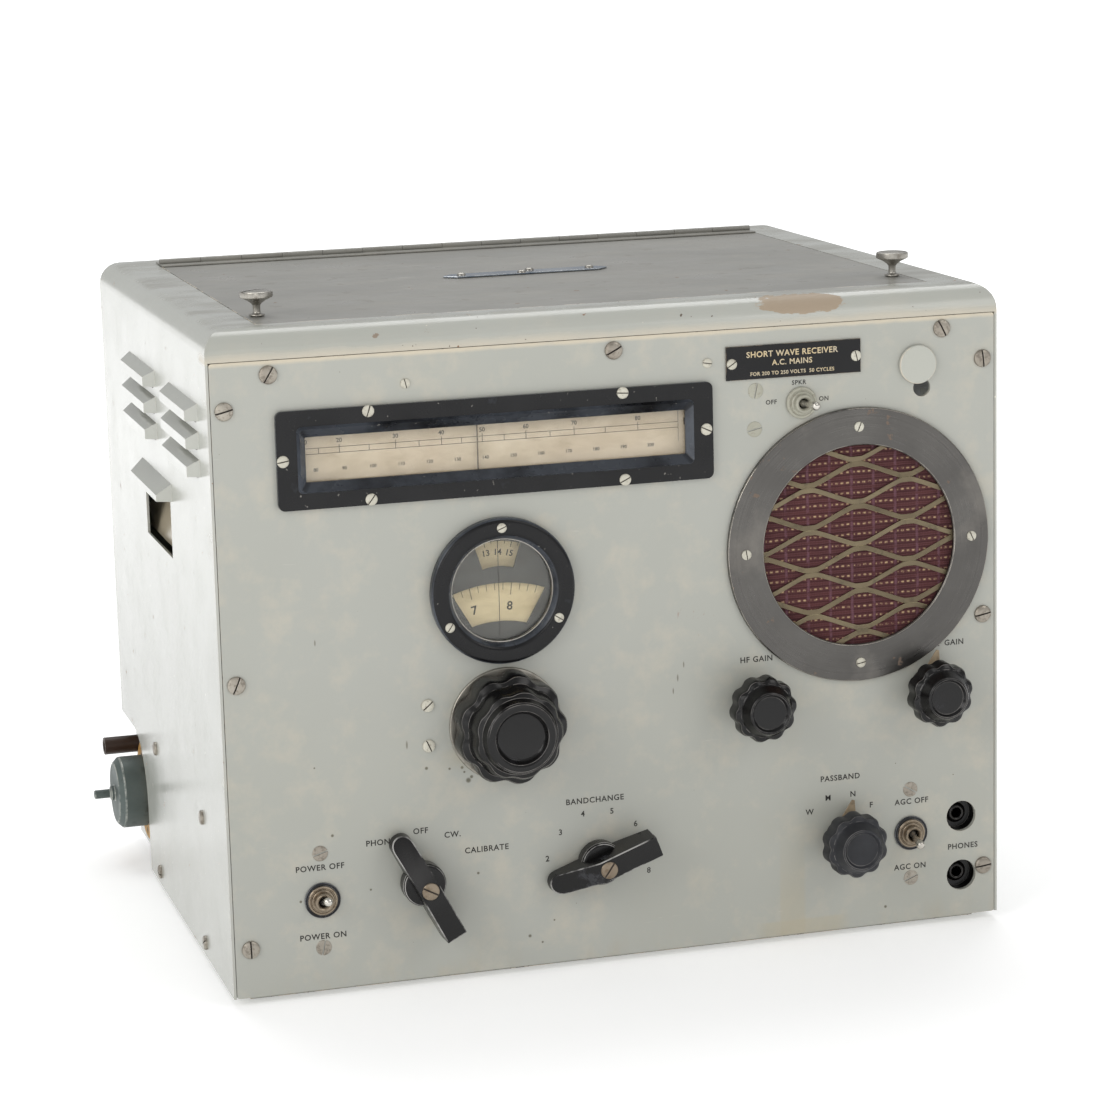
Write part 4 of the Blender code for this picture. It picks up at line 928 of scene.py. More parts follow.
barLook = dict(
    bakeliteLook,
    layers=[
        # grey mottle: dust, and a painted reflection on the sloping top
        layer("3c3d41", mottle(40, 0.6, 0.66, detail=6), amount=0.5, rough=0.35),
        # worn edges, which also stand in as a painted rim highlight
        layer("b9b7b4", wear(0.42, 0.56, scale=36), rough=0.3, amount=0.75),
    ],
)
dustyLook = dict(bakeliteLook, colour="1c1d20", drift="2b2c30", driftScale=60, rough=(0.35, 0.55))
# the jack's worn edges also stand in as a painted rim highlight
jackLook = dict(
    bakeliteLook, layers=[layer("55514a", wear(0.35, 0.5, scale=60), rough=0.4, amount=0.8)]
)
brightLook = dict(nickelLook, colour="d6d3cc", drift="b9b4aa", rough=(0.12, 0.25))
creamNutLook = dict(creamScrewLook, colour="abaa9c", drift="9b998b")
plateLook = dict(
    blackLook,
    layers=[
        layer("8f8b84", mottle(160, 0.68, 0.71, detail=4), amount=0.7, rough=0.5),
        layer("8a7a66", wear(0.4, 0.5, scale=110), rough=0.5),
    ],
)
giltLook = {
    "colour": "c9b48a",
    "drift": "b9b1a0",
    "driftScale": 90,
    "rough": (0.35, 0.5),
    "metal": 0.3,
    "bump": 0.1,
    "layers": [layer("3a352c", mottle(420, 0.62, 0.7, detail=3), amount=0.7)],
}
coverLook = dict(panelLook, colour="b3b4ac", drift="aeafa6", layers=[specks, paleSpecks, paintEdge])
holdLook = dict(caseLook, colour="bdb29c", drift="b0a58f", layers=[specks, rustDots, chippedEdge])
pointerLook = {
    "colour": "a8977c",
    "drift": "8f7f68",
    "driftScale": 60,
    "rough": (0.4, 0.6),
    "metal": 0.4,
    "bump": 0.2,
    "layers": [layer("5e5141", mottle(150, 0.55, 0.66, detail=5), amount=0.5)],
}
finishes = {
    name: makeFinish(name, look)
    for name, look in {
        "panelPaint": panelLook,
        "casePaint": caseLook,
        "lidPaint": lidLook,
        "blackEnamel": blackLook,
        "bakelite": bakeliteLook,
        "nickelPlate": nickelLook,
        "panelScrewSteel": panelScrewLook,
        "creamScrew": creamScrewLook,
        "burnishedRing": ringLook,
        "backplateMetal": backplateLook,
        "grilleBrass": grilleLook,
        "brass": brassLook,
        "dialCard": cardLook,
        "loggingDisc": discLook,
        "greyMask": maskLook,
        "ink": inkLook,
        "chassisAluminium": chassisLook,
        "darkSteel": steelLook,
        "conePaper": coneLook,
        "yellowPaint": yellowLook,
        "plugCasting": plugLook,
        "brownMoulding": brownLook,
        "bluedSteel": strapLook,
        "pointerPlate": pointerLook,
        "speakerWeave": clothLook,
        "barBakelite": barLook,
        "dustyBakelite": dustyLook,
        "jackBakelite": jackLook,
        "brightNickel": brightLook,
        "creamNut": creamNutLook,
        "plateBlack": plateLook,
        "plateGilt": giltLook,
        "coverPaint": coverLook,
        "holdPaint": holdLook,
    }.items()
}
print("finishes ready:", len(finishes))


def makeGlass(name, colour, rough):
    # clear plate with faint smears in its polish
    material = bpy.data.materials.new(name)
    material.use_nodes = True
    tree = material.node_tree
    shader = tree.nodes["Principled BSDF"]
    smears = grain(tree, 45, 6, 0.65, (1, 1, 2.5))
    tint = blend(tree, ramp(tree, smears, 0.4, 0.8), tone(colour), tone("ded9cc"))
    tree.links.new(tint, shader.inputs["Base Color"])
    tree.links.new(ramp(tree, smears, 0.45, 0.75, rough, rough + 0.12), shader.inputs["Roughness"])
    shader.inputs["Transmission Weight"].default_value = 1.0
    shader.inputs["IOR"].default_value = 1.45
    return material


finishes["dialGlass"] = makeGlass("dialGlass", "f4f2ea", 0.02)
finishes["valveGlass"] = makeGlass("valveGlass", "e9ecec", 0.01)
print("glass ready")


# case, panels and lid
casePieces = {
    # name, body, finish, edge in millimetres, bevel steps, whether flat faces are merged
    "cabinet_shell": ("caseShell", "cabinet", "casePaint", 0.45, 2, False),
    "front_panel": ("facePanel", "cabinet", "panelPaint", 0.5, 2, True),
    "rear_panel": ("rearPan", "cabinet", "casePaint", 0.5, 2, False),
    "bottom_plate": ("basePlate", "cabinet", "casePaint", 0.5, 2, True),
    "top_lid": ("lidSheet", "lid", "lidPaint", 0.35, 2, True),
    "hinge_fixed_leaf": ("hingeFixedLeaf", "cabinet", "lidPaint", 0.15, 1, True),
    "hinge_moving_leaf": ("hingeMovingLeaf", "lid", "lidPaint", 0.15, 1, True),
}
for nodeName, (name, body, finish, edge, steps, flatten) in casePieces.items():
    skin = skinOf(nodeName, name, edge * mm, steps, flatten=flatten)
    deliver(skin, body, "grey_paint", finishes[finish], nodeName)
print("case ready")

# lozenge strap with four domed rivets
strapLow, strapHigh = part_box("lid_strap")
strap = {
    "length": strapHigh.x - strapLow.x,
    "width": 15 * mm,
    "thick": 1.0 * mm,
    "rivets": [(-43, 0), (-4, -5), (4, 5), (43, 0)],
}
strapMid = (strapLow + strapHigh) / 2
lozenge = plate(
    "lidStrap",
    (strap["length"], strap["width"], strap["thick"]),
    (strapMid.x, strapMid.y, strapLow.z + strap["thick"] / 2),
)
for end in (-1, 1):
    choose(lozenge, "FACE", lambda c, n: n.x * end > 0.9)
    bpy.ops.transform.resize(value=(1, 0.07, 1))
    leave()
for side in (-1, 1):  # the long sides keep their width up to the points
    shoulder = strapMid.x + side * (strap["length"] / 2 - strap["width"] / 2)
    pick(lozenge)
    bpy.ops.object.mode_set(mode="EDIT")
    bpy.ops.mesh.select_all(action="SELECT")
    bpy.ops.mesh.bisect(plane_co=(shoulder, 0, 0), plane_no=(1, 0, 0))
    leave()
    for vertex in lozenge.data.vertices:
        if abs(vertex.co.x - shoulder) < 0.01 * mm:
            vertex.co.y = strapMid.y + math.copysign(strap["width"] / 2, vertex.co.y - strapMid.y)
easeEdges(lozenge, 0.25 * mm)
rivet = lathe(
    "rivetHead", [(0, 0), (3.0, 0), (2.9, 0.45), (2.5, 1.0), (1.7, 1.45), (0.8, 1.65), (0, 1.7)], 24
)
smooth(rivet, 50)
rivets = []
for x, y in strap["rivets"]:
    rivets.append(stand(
        copyOf(rivet),
        (strapMid.x + x * mm, strapMid.y + y * mm, strapLow.z + strap["thick"]),
        (0, 0, 0),
    ))
bpy.data.objects.remove(rivet)
rivetSet = join("strapRivets", rivets)
deliver(lozenge, "lid", "blued_steel", finishes["bluedSteel"], "lid_strap")
deliver(rivetSet, "lid", "nickel", finishes["nickelPlate"])

# captive thumbscrews: slotted head, coned under, thin neck
thumbProfile = [
    (0, -8), (2.4, -8), (2.9, -7.2), (2.9, 0.4), (4.6, 0.5), (4.9, 0.8), (4.6, 1.4), (2.6, 1.9),
    (2.3, 3.0), (2.3, 6.6), (3.2, 7.8), (5.6, 9.6), (8.6, 11.0), (9.7, 11.5), (10, 12.0), (10, 14.4),
    (9.7, 15.0), (9.0, 15.3), (7.0, 15.6), (3.0, 15.9), (0, 16),
]
knurl = {"teeth": 72, "depth": 0.022, "reach": 9.6 * mm, "from": 11.8 * mm, "to": 14.6 * mm}
for side, body in (("Left", "thumb_screw_left"), ("Right", "thumb_screw_right")):
    low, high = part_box(body)
    screw = lathe("thumbScrew" + side, thumbProfile, 72)
    slot = plate("slot", (24 * mm, 1.5 * mm, 2.4 * mm), (0, 0, 16 * mm))
    carve(screw, slot)
    for vertex in screw.data.vertices:  # fine straight knurl round the head
        reach = math.hypot(vertex.co.x, vertex.co.y)
        if reach > knurl["reach"] and knurl["from"] < vertex.co.z < knurl["to"]:
            around = math.atan2(vertex.co.y, vertex.co.x) / (2 * math.pi)
            ridge = round(around * knurl["teeth"]) % 2
            vertex.co.x *= 1 - knurl["depth"] * ridge
            vertex.co.y *= 1 - knurl["depth"] * ridge
    easeEdges(screw, 0.12 * mm, 1, 50)
    turn = 0.35 if side == "Left" else -0.5
    stand(screw, ((low.x + high.x) / 2, (low.y + high.y) / 2, high.z - 16 * mm), (0, 0, turn))
    deliver(screw, body, "nickel", finishes["nickelPlate"], body)
cadNodes["hinge_pin"].data.materials.clear()
cadNodes["hinge_pin"].data.materials.append(finishes["nickelPlate"])

# the curled sheet inside each hand-hold
hold = {
    "inside": 233 * mm,
    "middle": 20 * mm,
    "height": 266 * mm,
    "size": (40 * mm, 140 * mm, 1.2 * mm),
    "tilt": 62,
}
for word, side in (("left", -1), ("right", 1)):
    curl = plate(word + "HoldSheet", hold["size"], (0, 0, 0))
    pick(curl)
    bpy.ops.object.mode_set(mode="EDIT")
    bpy.ops.mesh.select_all(action="SELECT")
    bpy.ops.mesh.subdivide(number_cuts=7)
    leave()
    for vertex in curl.data.vertices:  # it curls over towards its inner edge
        vertex.co.z -= 6 * (vertex.co.x * side + 0.004) ** 2
    easeEdges(curl, 0.3 * mm, 2, 50)
    curl.rotation_euler = (0, side * math.radians(hold["tilt"]), 0)
    curl.location = (side * hold["inside"], hold["middle"], hold["height"])
    settle(curl)
    deliver(curl, "cabinet", "grey_paint", finishes["holdPaint"])
print("lid ready")

# screws
screwKinds = {
    # radius, height, slot width
    "cheese": (5.5, 2.0, 0.95),
    "flush": (4.8, 0.5, 0.8),
    "small": (3.1, 1.2, 0.6),
    "cream": (3.9, 1.8, 0.75),
}


def slottedScrew(kind):
    radius, height, slotWidth = screwKinds[kind]
    r, h = radius, height
    profile = [
        (0, -0.2), (r, -0.2), (r, 0.45 * h), (0.94 * r, 0.72 * h), (0.72 * r, 0.93 * h), (0.4 * r, h),
        (0, 1.02 * h),
    ]
    screw = lathe("screw", profile, 32)
    floor = min(0.4 * h, h - 0.6)  # how high the bottom of the slot lies
    carve(screw, plate("slot", (2.4 * r * mm, slotWidth * mm, 2 * mm), (0, 0, (floor + 1) * mm)))
    easeEdges(screw, 0.09 * mm, 1, 45)
    # the slot's faces, marked for painted shade
    slotShadeFaces = screw.data.attributes.new("slot", "FLOAT", "FACE")
    for face in screw.data.polygons:
        x, y, z = face.center
        inside = abs(y) < 0.52 * slotWidth * mm and floor * mm - 0.02 * mm < z < 0.97 * h * mm
        slotShadeFaces.data[face.index].value = float(inside and math.hypot(x, y) < 0.99 * r * mm)
    return screw


masters = {kind: slottedScrew(kind) for kind in screwKinds}


def screwSet(name, kind, spots, body, slot, finish, facing=outward, size=1.0):
    # every head is set at its own angle
    made = []
    for spot in spots:
        screw = copyOf(masters[kind])
        screw.rotation_euler = (0, 0, random.uniform(0, math.pi))
        screw.scale = (size, size, 1)
        settle(screw)
        made.append(stand(screw, spot, facing))
    whole = join(name, made)
    return deliver(whole, body, slot, finish)


panelScrews = {
    # kind, finish, size, how far out they sit, and their places on the panel, in millimetres
    "panelScrews": ("cheese", "panelScrewSteel", 1.0, 0, [
        (34.7, 375.7), (244.6, 376.3), (455.3, 376.2), (7.8, 355.8), (482.2, 356), (7.9, 192.7),
        (482.2, 194.6), (9.4, 30.1), (482.4, 31.1),
    ]),
    "paintedScrews": ("flush", "creamNut", 1.0, 0, [(334, 345.7), (333, 322.2)]),
    "flushScrews": ("flush", "panelScrewSteel", 1.0, 0, [
        (53.9, 85.1), (54, 26.3), (433.2, 85.9), (433.3, 28.2),
    ]),
    "guideScrews": ("cream", "creamScrew", 1.0, 0, [(123.2, 169.7), (123.1, 144.7)]),
    "trimScrews": ("small", "creamScrew", 0.95, 0, [(303.4, 364.7), (116.3, 365.1)]),
    "bezelScrews": ("small", "creamScrew", 1.16, 3.0, [
        (92.7, 350.8), (248.8, 350.8), (40.8, 324.4), (301.2, 325), (92.8, 298.2), (249.3, 298.1),
    ]),
    "loggingScrews": ("small", "creamScrew", 0.95, 6.9, [(170.5, 275.5), (136.9, 217.6), (204.6, 217.9)]),
    "nameplateScrews": ("small", "creamScrew", 1.05, 1.2, [(318.6, 363.1), (398.6, 363.2)]),
}
for name, (kind, finish, size, out, places) in panelScrews.items():
    spots = [onPanel(u, v, out) for u, v in places]
    screwSet(name, kind, spots, "cabinet", "nickel", finishes[finish], size=size)
ringReach = 74 * mm
ringSpots = [
    (speaker.x + ringReach * math.cos(a), front - 3.2 * mm, speaker.z + ringReach * math.sin(a))
    for a in (0, math.pi / 2, math.pi, 1.5 * math.pi)
]
screwSet("ringScrews", "small", ringSpots, "cabinet", "nickel", finishes["creamScrew"])
sideSpots = [(80, 97), (245, 100), (88, 14), (250, 14), (352, 125)]  # depth and height
sideWall = 247 * mm
for word, side, facing in (("left", -1, leftward), ("right", 1, (0, math.pi / 2, 0))):
    spots = [  # the connectors take the place of the left side's rear screw
        (side * sideWall, front + d * mm, z * mm) for d, z in sideSpots if side > 0 or d < 300
    ]
    name = word + "SideScrews"
    screwSet(name, "cheese", spots, "cabinet", "nickel", finishes["panelScrewSteel"], facing, 0.82)
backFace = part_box("rear_panel")[1].y
backSpots = [(-232, 388), (-232, 205), (0, 388), (0, 26), (232, 388), (232, 26), (232, 205)]
spots = [(x * mm, backFace, z * mm) for x, z in backSpots]
backward = (-math.pi / 2, 0, 0)
screwSet("rearScrews", "small", spots, "cabinet", "nickel", finishes["panelScrewSteel"], backward, 1.1)
print("screws ready")


# lettering
def lettering(text, height, centre, turn=0.0, depth=0.06 * mm, wide=1.0):
    # capitals of the given height in millimetres, facing out of the panel, turned clockwise
    bpy.ops.object.select_all(action="DESELECT")
    bpy.ops.object.text_add(location=(0, 0, 0))
    words = bpy.context.object
    words.data.body = text
    words.data.size = height * mm / 0.7
    words.data.space_character = wide
    words.data.align_x = "CENTER"
    words.data.align_y = "CENTER"
    words.data.resolution_u = 3
    words.data.extrude = depth / 2
    words.data.offset = 0.028 * height * mm  # a little bolder
    bpy.ops.object.convert(target="MESH")
    words = bpy.context.object
    words.rotation_euler = (math.pi / 2, turn, 0)
    words.location = centre
    return settle(words)


legends = {
    # text: its place on the panel in millimetres
    "PHONE": (91.1, 87.9),
    "OFF": (116.2, 92.4),
    "CW.": (136, 88.1),
    "CALIBRATE": (157.1, 76.9),
    "BANDCHANGE": (226.3, 100.5),
    "1": (196.7, 51.7),
    "2": (195.2, 66.3),
    "3": (203.9, 82.1),
    "4": (218.4, 92.3),
    "5": (237, 92.2),
    "6": (252, 82.6),
    "7": (258.5, 67),
    "8": (259.9, 52),
    "W": (365.8, 77.9),
    "M": (378.1, 85.8),
    "N": (394.7, 86.7),
    "F": (406.8, 78.4),
    "PASSBAND": (386.3, 98.2),
    "POWER OFF": (53.5, 76.2),
    "POWER ON": (53.9, 33.3),
    "HF GAIN": (332.1, 179),
    "LF GAIN": (459.5, 178),
    "AGC OFF": (434, 78),
    "AGC ON": (432.8, 35.5),
    "PHONES": (468.6, 45.2),
    "SPKR": (362, 349),
    "OFF ": (344, 338),
    "ON": (378, 338),
}
smallLegends = ("SPKR", "OFF ", "ON")
printed = []
for text, (u, v) in legends.items():
    height = 2.7 if text in smallLegends else 3.5
    printed.append(lettering(text.strip(), height, onPanel(u, v, 0.04), 0, wide=1.12))
deliver(join("panelLegends", printed), "cabinet", "black_paint", finishes["ink"])
print("legends ready")

# tuning scale
dial = {
    "mid": midOf("dial_bezel"),
    "outer": (268.4 * mm, 58.9 * mm),
    "step": (244 * mm, 39.6 * mm),
    "window": (234 * mm, 27 * mm),
    "flange": 2.7 * mm,
    "rise": 3.4 * mm,
    "corner": 4 * mm,
    "sink": 4.4 * mm,  # how far the sloping frame falls to the glass
}
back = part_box("dial_bezel")[1].y
bezel = plate(
    "dialBezel",
    (dial["outer"][0], dial["flange"], dial["outer"][1]),
    (dial["mid"].x, back - dial["flange"] / 2, dial["mid"].z),
)
roundCorners(bezel, dial["corner"], 5, lambda a, b: abs(a.y - b.y) > dial["flange"] / 2)
choose(bezel, "FACE", lambda c, n: n.y < -0.9)
widths = [
    dial["outer"],
    dial["step"],
    (dial["step"][0] - 2.4 * mm, dial["step"][1] - 2.4 * mm),
    dial["window"],
]
moves = [0, -dial["rise"], dial["sink"]]
for (w0, h0), (w1, h1), move in zip(widths, widths[1:], moves):
    bpy.ops.mesh.extrude_region_move(TRANSFORM_OT_translate={"value": (0, move, 0)})
    bpy.ops.transform.resize(
        value=(w1 / w0, 1, h1 / h0), center_override=(dial["mid"].x, back, dial["mid"].z)
    )
leave()
hole = plate(
    "hole",
    (dial["window"][0] - 0.2 * mm, 30 * mm, dial["window"][1] - 0.2 * mm),
    (dial["mid"].x, back, dial["mid"].z),
)
carve(bezel, hole)
easeEdges(bezel, 0.45 * mm, 3, 25)
deliver(bezel, "cabinet", "black_paint", finishes["blackEnamel"], "dial_bezel")

pane = skinOf("dial_glass", "dialPane", 0.2 * mm, 1)
pane.visible_shadow = False
deliver(pane, "cabinet", "glass", finishes["dialGlass"], "dial_glass")

cardLow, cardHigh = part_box("scale_plate")
card = plate("scaleCard", cardHigh - cardLow, (cardLow + cardHigh) / 2)
easeEdges(card, 0.2 * mm, 2)
deliver(card, "cabinet", "card", finishes["dialCard"], "scale_plate")

scale = {
    "low": 10,  # the numbers run from here in tens
    "at": {10: 55.5, 20: 76.5, 30: 110.5, 40: 138.5, 50: 163.5, 60: 190.5, 70: 220.5, 80: 260.5},
    "half": {15: 64.0, 25: 94.5, 35: 124.8, 45: 150.8, 55: 177.0, 65: 205.5, 75: 240.0},
    "upper": 329.6,
    "lower": 326.2,
    "left": 49.0,
    "right": 286.0,
    "lowerRow": 316.6,
}


def onCard(u, v):
    return Vector((panelLeft + u * mm, cardLow.y - 0.05 * mm, panelFoot + v * mm))


def stroke(u0, v0, u1, v1, width=0.3):
    a, b = onCard(u0, v0), onCard(u1, v1)
    size = (abs(b.x - a.x) + width * mm, 0.08 * mm, abs(b.z - a.z) + width * mm)
    return plate("stroke", size, (a + b) / 2)


marks = [
    stroke(scale["left"], scale["upper"], scale["right"], scale["upper"], 0.32),
    stroke(scale["left"], scale["lower"], scale["right"], scale["lower"], 0.32),
    stroke(scale["right"], 318, scale["right"], 340, 0.25),
]
for value, u in scale["at"].items():
    marks.append(stroke(u, scale["lower"] - 0.2, u, scale["upper"] + 1.4, 0.35))
    marks.append(lettering(str(value), 2.5, onCard(u, scale["upper"] + 3.8)))
for value, u in scale["half"].items():
    marks.append(stroke(u, scale["lower"], u, scale["upper"], 0.35))
lowerNumbers = [80, 90, 100, 110, 120, 130, 140, 150, 160, 170, 180, 190, 200]
for index, value in enumerate(lowerNumbers):
    marks.append(lettering(str(value), 2.0, onCard(62 + 17.2 * index, scale["lowerRow"])))
marks.append(lettering("Kc", 4.2, onCard(292.5, 329.5)))
deliver(join("scalePrinting", marks), "cabinet", "black_paint", finishes["ink"])

# the pointer: a blackened wire on a small brass carriage
cursorLow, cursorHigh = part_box("dial_cursor")
wireX = (cursorLow.x + cursorHigh.x) / 2
needle = {
    "radius": 0.45 * mm, "length": 45 * mm, "out": 0.6 * mm, "middle": 22.6 * mm,
    "foot": (4 * mm, 1 * mm, 2.5 * mm), "footOut": 0.8 * mm, "footMiddle": 1.4 * mm,
}
wireMid = (wireX, cursorLow.y + needle["out"], cursorLow.z + needle["middle"])
footMid = (wireX, cursorLow.y + needle["footOut"], cursorLow.z + needle["footMiddle"])
wire = drum("cursorWire", needle["radius"], needle["length"], wireMid, (0, 0, 0), 12)
foot = plate("cursorFoot", needle["foot"], footMid)
easeEdges(foot, 0.2 * mm)
wire = join("cursorNeedle", [smooth(wire), foot])
deliver(wire, "dial_cursor", "black_paint", finishes["blackEnamel"])
carriage = skinOf("dial_cursor", "cursorCarriage", 0.15 * mm, 1)
deliver(carriage, "dial_cursor", "brass", finishes["brass"], "dial_cursor")
print("tuning scale ready")

# logging dial
logMid = midOf("logging_bezel")
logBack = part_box("logging_bezel")[1].y
logProfile = [
    (31.6, 0), (44.3, 0), (44.5, 0.3), (44.5, 4.6), (44.2, 5.6), (43.2, 6.4), (41.8, 6.7), (36.2, 6.7),
    (34.6, 6.4), (33.4, 5.4), (32.2, 3.4), (31.6, 2.6), (31.6, 0),
]
ring = lathe("loggingBezel", logProfile, 96)
smooth(ring, 50)
easeEdges(ring, 0.12 * mm, 1, 60)
stand(ring, (logMid.x, logBack, logMid.z))
deliver(ring, "cabinet", "black_paint", finishes["blackEnamel"], "logging_bezel")
liner = lathe("loggingLiner", [(31.1, -0.2), (31.7, -0.2), (31.7, 2.4), (31.1, 2.4), (31.1, -0.2)], 72)
smooth(liner, 50)
stand(liner, (logMid.x, logBack, logMid.z))
deliver(liner, "cabinet", "nickel", finishes["nickelPlate"])
lens = lathe("loggingPane", [(0, -2.3), (32.7, -2.3), (32.7, -0.4), (0, -0.4)], 64)
smooth(lens, 50)
stand(lens, (logMid.x, logBack, logMid.z))
lens.visible_shadow = False
deliver(lens, "cabinet", "glass", finishes["dialGlass"], "logging_glass")
mask = skinOf("logging_mask", "loggingMask", 0.15 * mm, 1)
deliver(mask, "cabinet", "black_paint", finishes["greyMask"], "logging_mask")
hair = plate(
    "hairline",
    (0.35 * mm, 0.25 * mm, 60 * mm),
    (logMid.x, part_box("logging_mask")[0].y - 0.4 * mm, logMid.z),
)
easeEdges(hair, 0.05 * mm, 1)
deliver(hair, "cabinet", "black_paint", finishes["ink"])

numbered = {
    # millimetres and degrees: the major and minor ticks' lengths hang from the outer radius,
    # step is the turn from one number to the next, zero the number that stands upright
    "logging": dict(
        node="logging_disc",
        body="tuning",
        axis=(tune.x, tune.z),
        radius=86.0,
        outer=85.0,
        major=7.5,
        minor=4.5,
        between=5,
        numeral=70.5,
        height=5.2,
        step=18.0,
        numbers=20,
        zero=7.66,
    ),
    "turns": dict(
        node="turns_disc",
        body="turns_disc",
        axis=(logMid.x, logMid.z - 18 * mm),
        radius=47.0,
        outer=46.2,
        major=4.2,
        minor=2.8,
        between=2,
        numeral=38.2,
        height=3.6,
        step=11.0,
        numbers=30,
        zero=13.74,
    ),
}
for word, disc in numbered.items():
    low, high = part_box(disc["node"])
    discFace = low.y
    plateDisc = lathe(word + "Disc", [(0, 0), (disc["radius"], 0), (disc["radius"], -1.2), (0, -1.2)], 128)
    easeEdges(plateDisc, 0.15 * mm, 1)
    stand(plateDisc, (disc["axis"][0], discFace, disc["axis"][1]))
    if word == "logging":
        hub = drum("way", 3.3 * mm, 9 * mm, (disc["axis"][0], discFace, disc["axis"][1]), sides=24)
        carve(plateDisc, hub)
        deliver(plateDisc, disc["body"], "card", finishes["loggingDisc"], disc["node"])
    else:
        spindle = drum(
            "spindle", 3 * mm, 7 * mm, (disc["axis"][0], high.y - 3.6 * mm, disc["axis"][1]), sides=24
        )
        roundCorners(
            spindle,
            0.5 * mm,
            2,
            lambda a, b: abs(a.y - b.y) < 0.1 * mm and max(a.y, b.y) > high.y - 0.2 * mm,
        )
        deliver(smooth(spindle), disc["body"], "brass", finishes["brass"])
        deliver(plateDisc, disc["body"], "card", finishes["loggingDisc"], disc["node"])
    marks = []
    for count in range(disc["numbers"]):
        angle = math.radians((count - disc["zero"]) * disc["step"])
        reach = disc["numeral"] * mm
        centre = (
            disc["axis"][0] + reach * math.sin(angle),
            discFace - 0.04 * mm,
            disc["axis"][1] + reach * math.cos(angle),
        )
        marks.append(lettering(str(count), disc["height"], centre, angle))
        for part in range(disc["between"]):
            turn = angle + math.radians(disc["step"]) * part / disc["between"]
            length = disc["major" if part == 0 else "minor"]
            tick = plate(
                "tick",
                (0.4 * mm if part == 0 else 0.3 * mm, 0.08 * mm, length * mm),
                (0, 0, (disc["outer"] - length / 2) * mm),
            )
            marks.append(stand(
                tick, (disc["axis"][0], discFace - 0.04 * mm, disc["axis"][1]), (0, turn, 0)
            ))
    deliver(join(word + "Numbers", marks), disc["body"], "black_paint", finishes["ink"])
print("logging dial ready")

# loudspeaker
def turnedPart(name, profile, centre, steps=64, edge=0.12, angle=50, facing=outward):
    piece = lathe(name, profile, steps)
    easeEdges(piece, edge * mm, 2, angle)
    return stand(piece, centre, facing)


speakerFace = Vector((speaker.x, front, speaker.z))
ringProfile = [
    (62.5, 0.3), (85.7, 0.3), (85.7, 2.4), (85.3, 2.95), (84.6, 3.2), (64.1, 3.2), (63.1, 3.05),
    (62.5, 2.5), (62.5, 0.3),
]
speakerRing = turnedPart("speakerRing", ringProfile, speakerFace, 128, 0.14, 25)
deliver(speakerRing, "cabinet", "nickel", finishes["burnishedRing"], "speaker_ring")

expanded = {
    "wide": 64.4,  # from knot to knot along a strand
    "tall": 26.5,
    "strip": 3.1,
    "flat": 3.6,  # half the length of a knot
    "lean": 0.5,
    "thick": 0.5,
    "turn": -2.0,
    "shift": (1.5, -1.2),
    "reach": 65.6,
}


def strandHeight(x):
    # a strand's lower edge, over one knot-to-knot half wave
    half = expanded["wide"] / 2
    along = abs((x + half) % expanded["wide"] - half)
    t = min(1, max(0, (along - expanded["flat"]) / (half - 2 * expanded["flat"])))
    eased = t + 0.14 * t * (1 - t) * (2 * t - 1)
    return (expanded["tall"] / 2 - expanded["strip"]) * eased


def strandOf():
    start = -1.5 * expanded["wide"]
    count = 96
    bpy.ops.object.select_all(action="DESELECT")
    bpy.ops.mesh.primitive_plane_add(size=mm, location=(0, 0, 0))
    piece = bpy.context.object
    bpy.ops.object.mode_set(mode="EDIT")
    bpy.ops.mesh.select_mode(type="VERT")
    bpy.ops.mesh.select_all(action="SELECT")
    bpy.ops.mesh.merge(type="CENTER")
    bpy.ops.transform.translate(value=(start * mm, 0, strandHeight(start) * mm))
    step = 3 * expanded["wide"] / count
    for index in range(count):
        x = start + index * step
        rise = strandHeight(x + step) - strandHeight(x)
        bpy.ops.mesh.extrude_vertices_move(TRANSFORM_OT_translate={"value": (step * mm, 0, rise * mm)})
    bpy.ops.mesh.select_all(action="SELECT")
    lift = (0, -expanded["lean"] * mm, expanded["strip"] * mm)
    bpy.ops.mesh.extrude_edges_move(TRANSFORM_OT_translate={"value": lift})
    leave()
    wall = piece.modifiers.new("wall", "SOLIDIFY")
    wall.thickness = expanded["thick"] * mm
    wall.offset = 0
    pick(piece)
    bpy.ops.object.modifier_apply(modifier=wall.name)
    return piece


strandMaster = strandOf()
grilleMid = Vector((
    speaker.x, (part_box("speaker_grille")[0].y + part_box("speaker_grille")[1].y) / 2, speaker.z,
))
strands = []
for row in range(-3, 4):
    for flip in (1, -1):
        strand = copyOf(strandMaster)
        strand.scale = (1, 1, flip)
        strand.location = (0, expanded["lean"] / 2 * mm, row * expanded["tall"] * mm)
        settle(strand)
        bpy.ops.object.mode_set(mode="EDIT")
        bpy.ops.mesh.select_all(action="SELECT")
        bpy.ops.mesh.normals_make_consistent(inside=False)
        leave()
        strand.rotation_euler = (0, math.radians(expanded["turn"]), 0)
        strand.location = grilleMid + Vector((expanded["shift"][0] * mm, 0, expanded["shift"][1] * mm))
        settle(strand)
        carve(strand, drum("rim", expanded["reach"] * mm, 20 * mm, grilleMid, sides=96), "INTERSECT")
        if len(strand.data.polygons) < 4:
            bpy.data.objects.remove(strand)
            continue
        easeEdges(strand, 0.12 * mm, 1, 40)
        strands.append(strand)
bpy.data.objects.remove(strandMaster)
deliver(join("speakerMesh", strands), "cabinet", "brass", finishes["grilleBrass"], "speaker_grille")

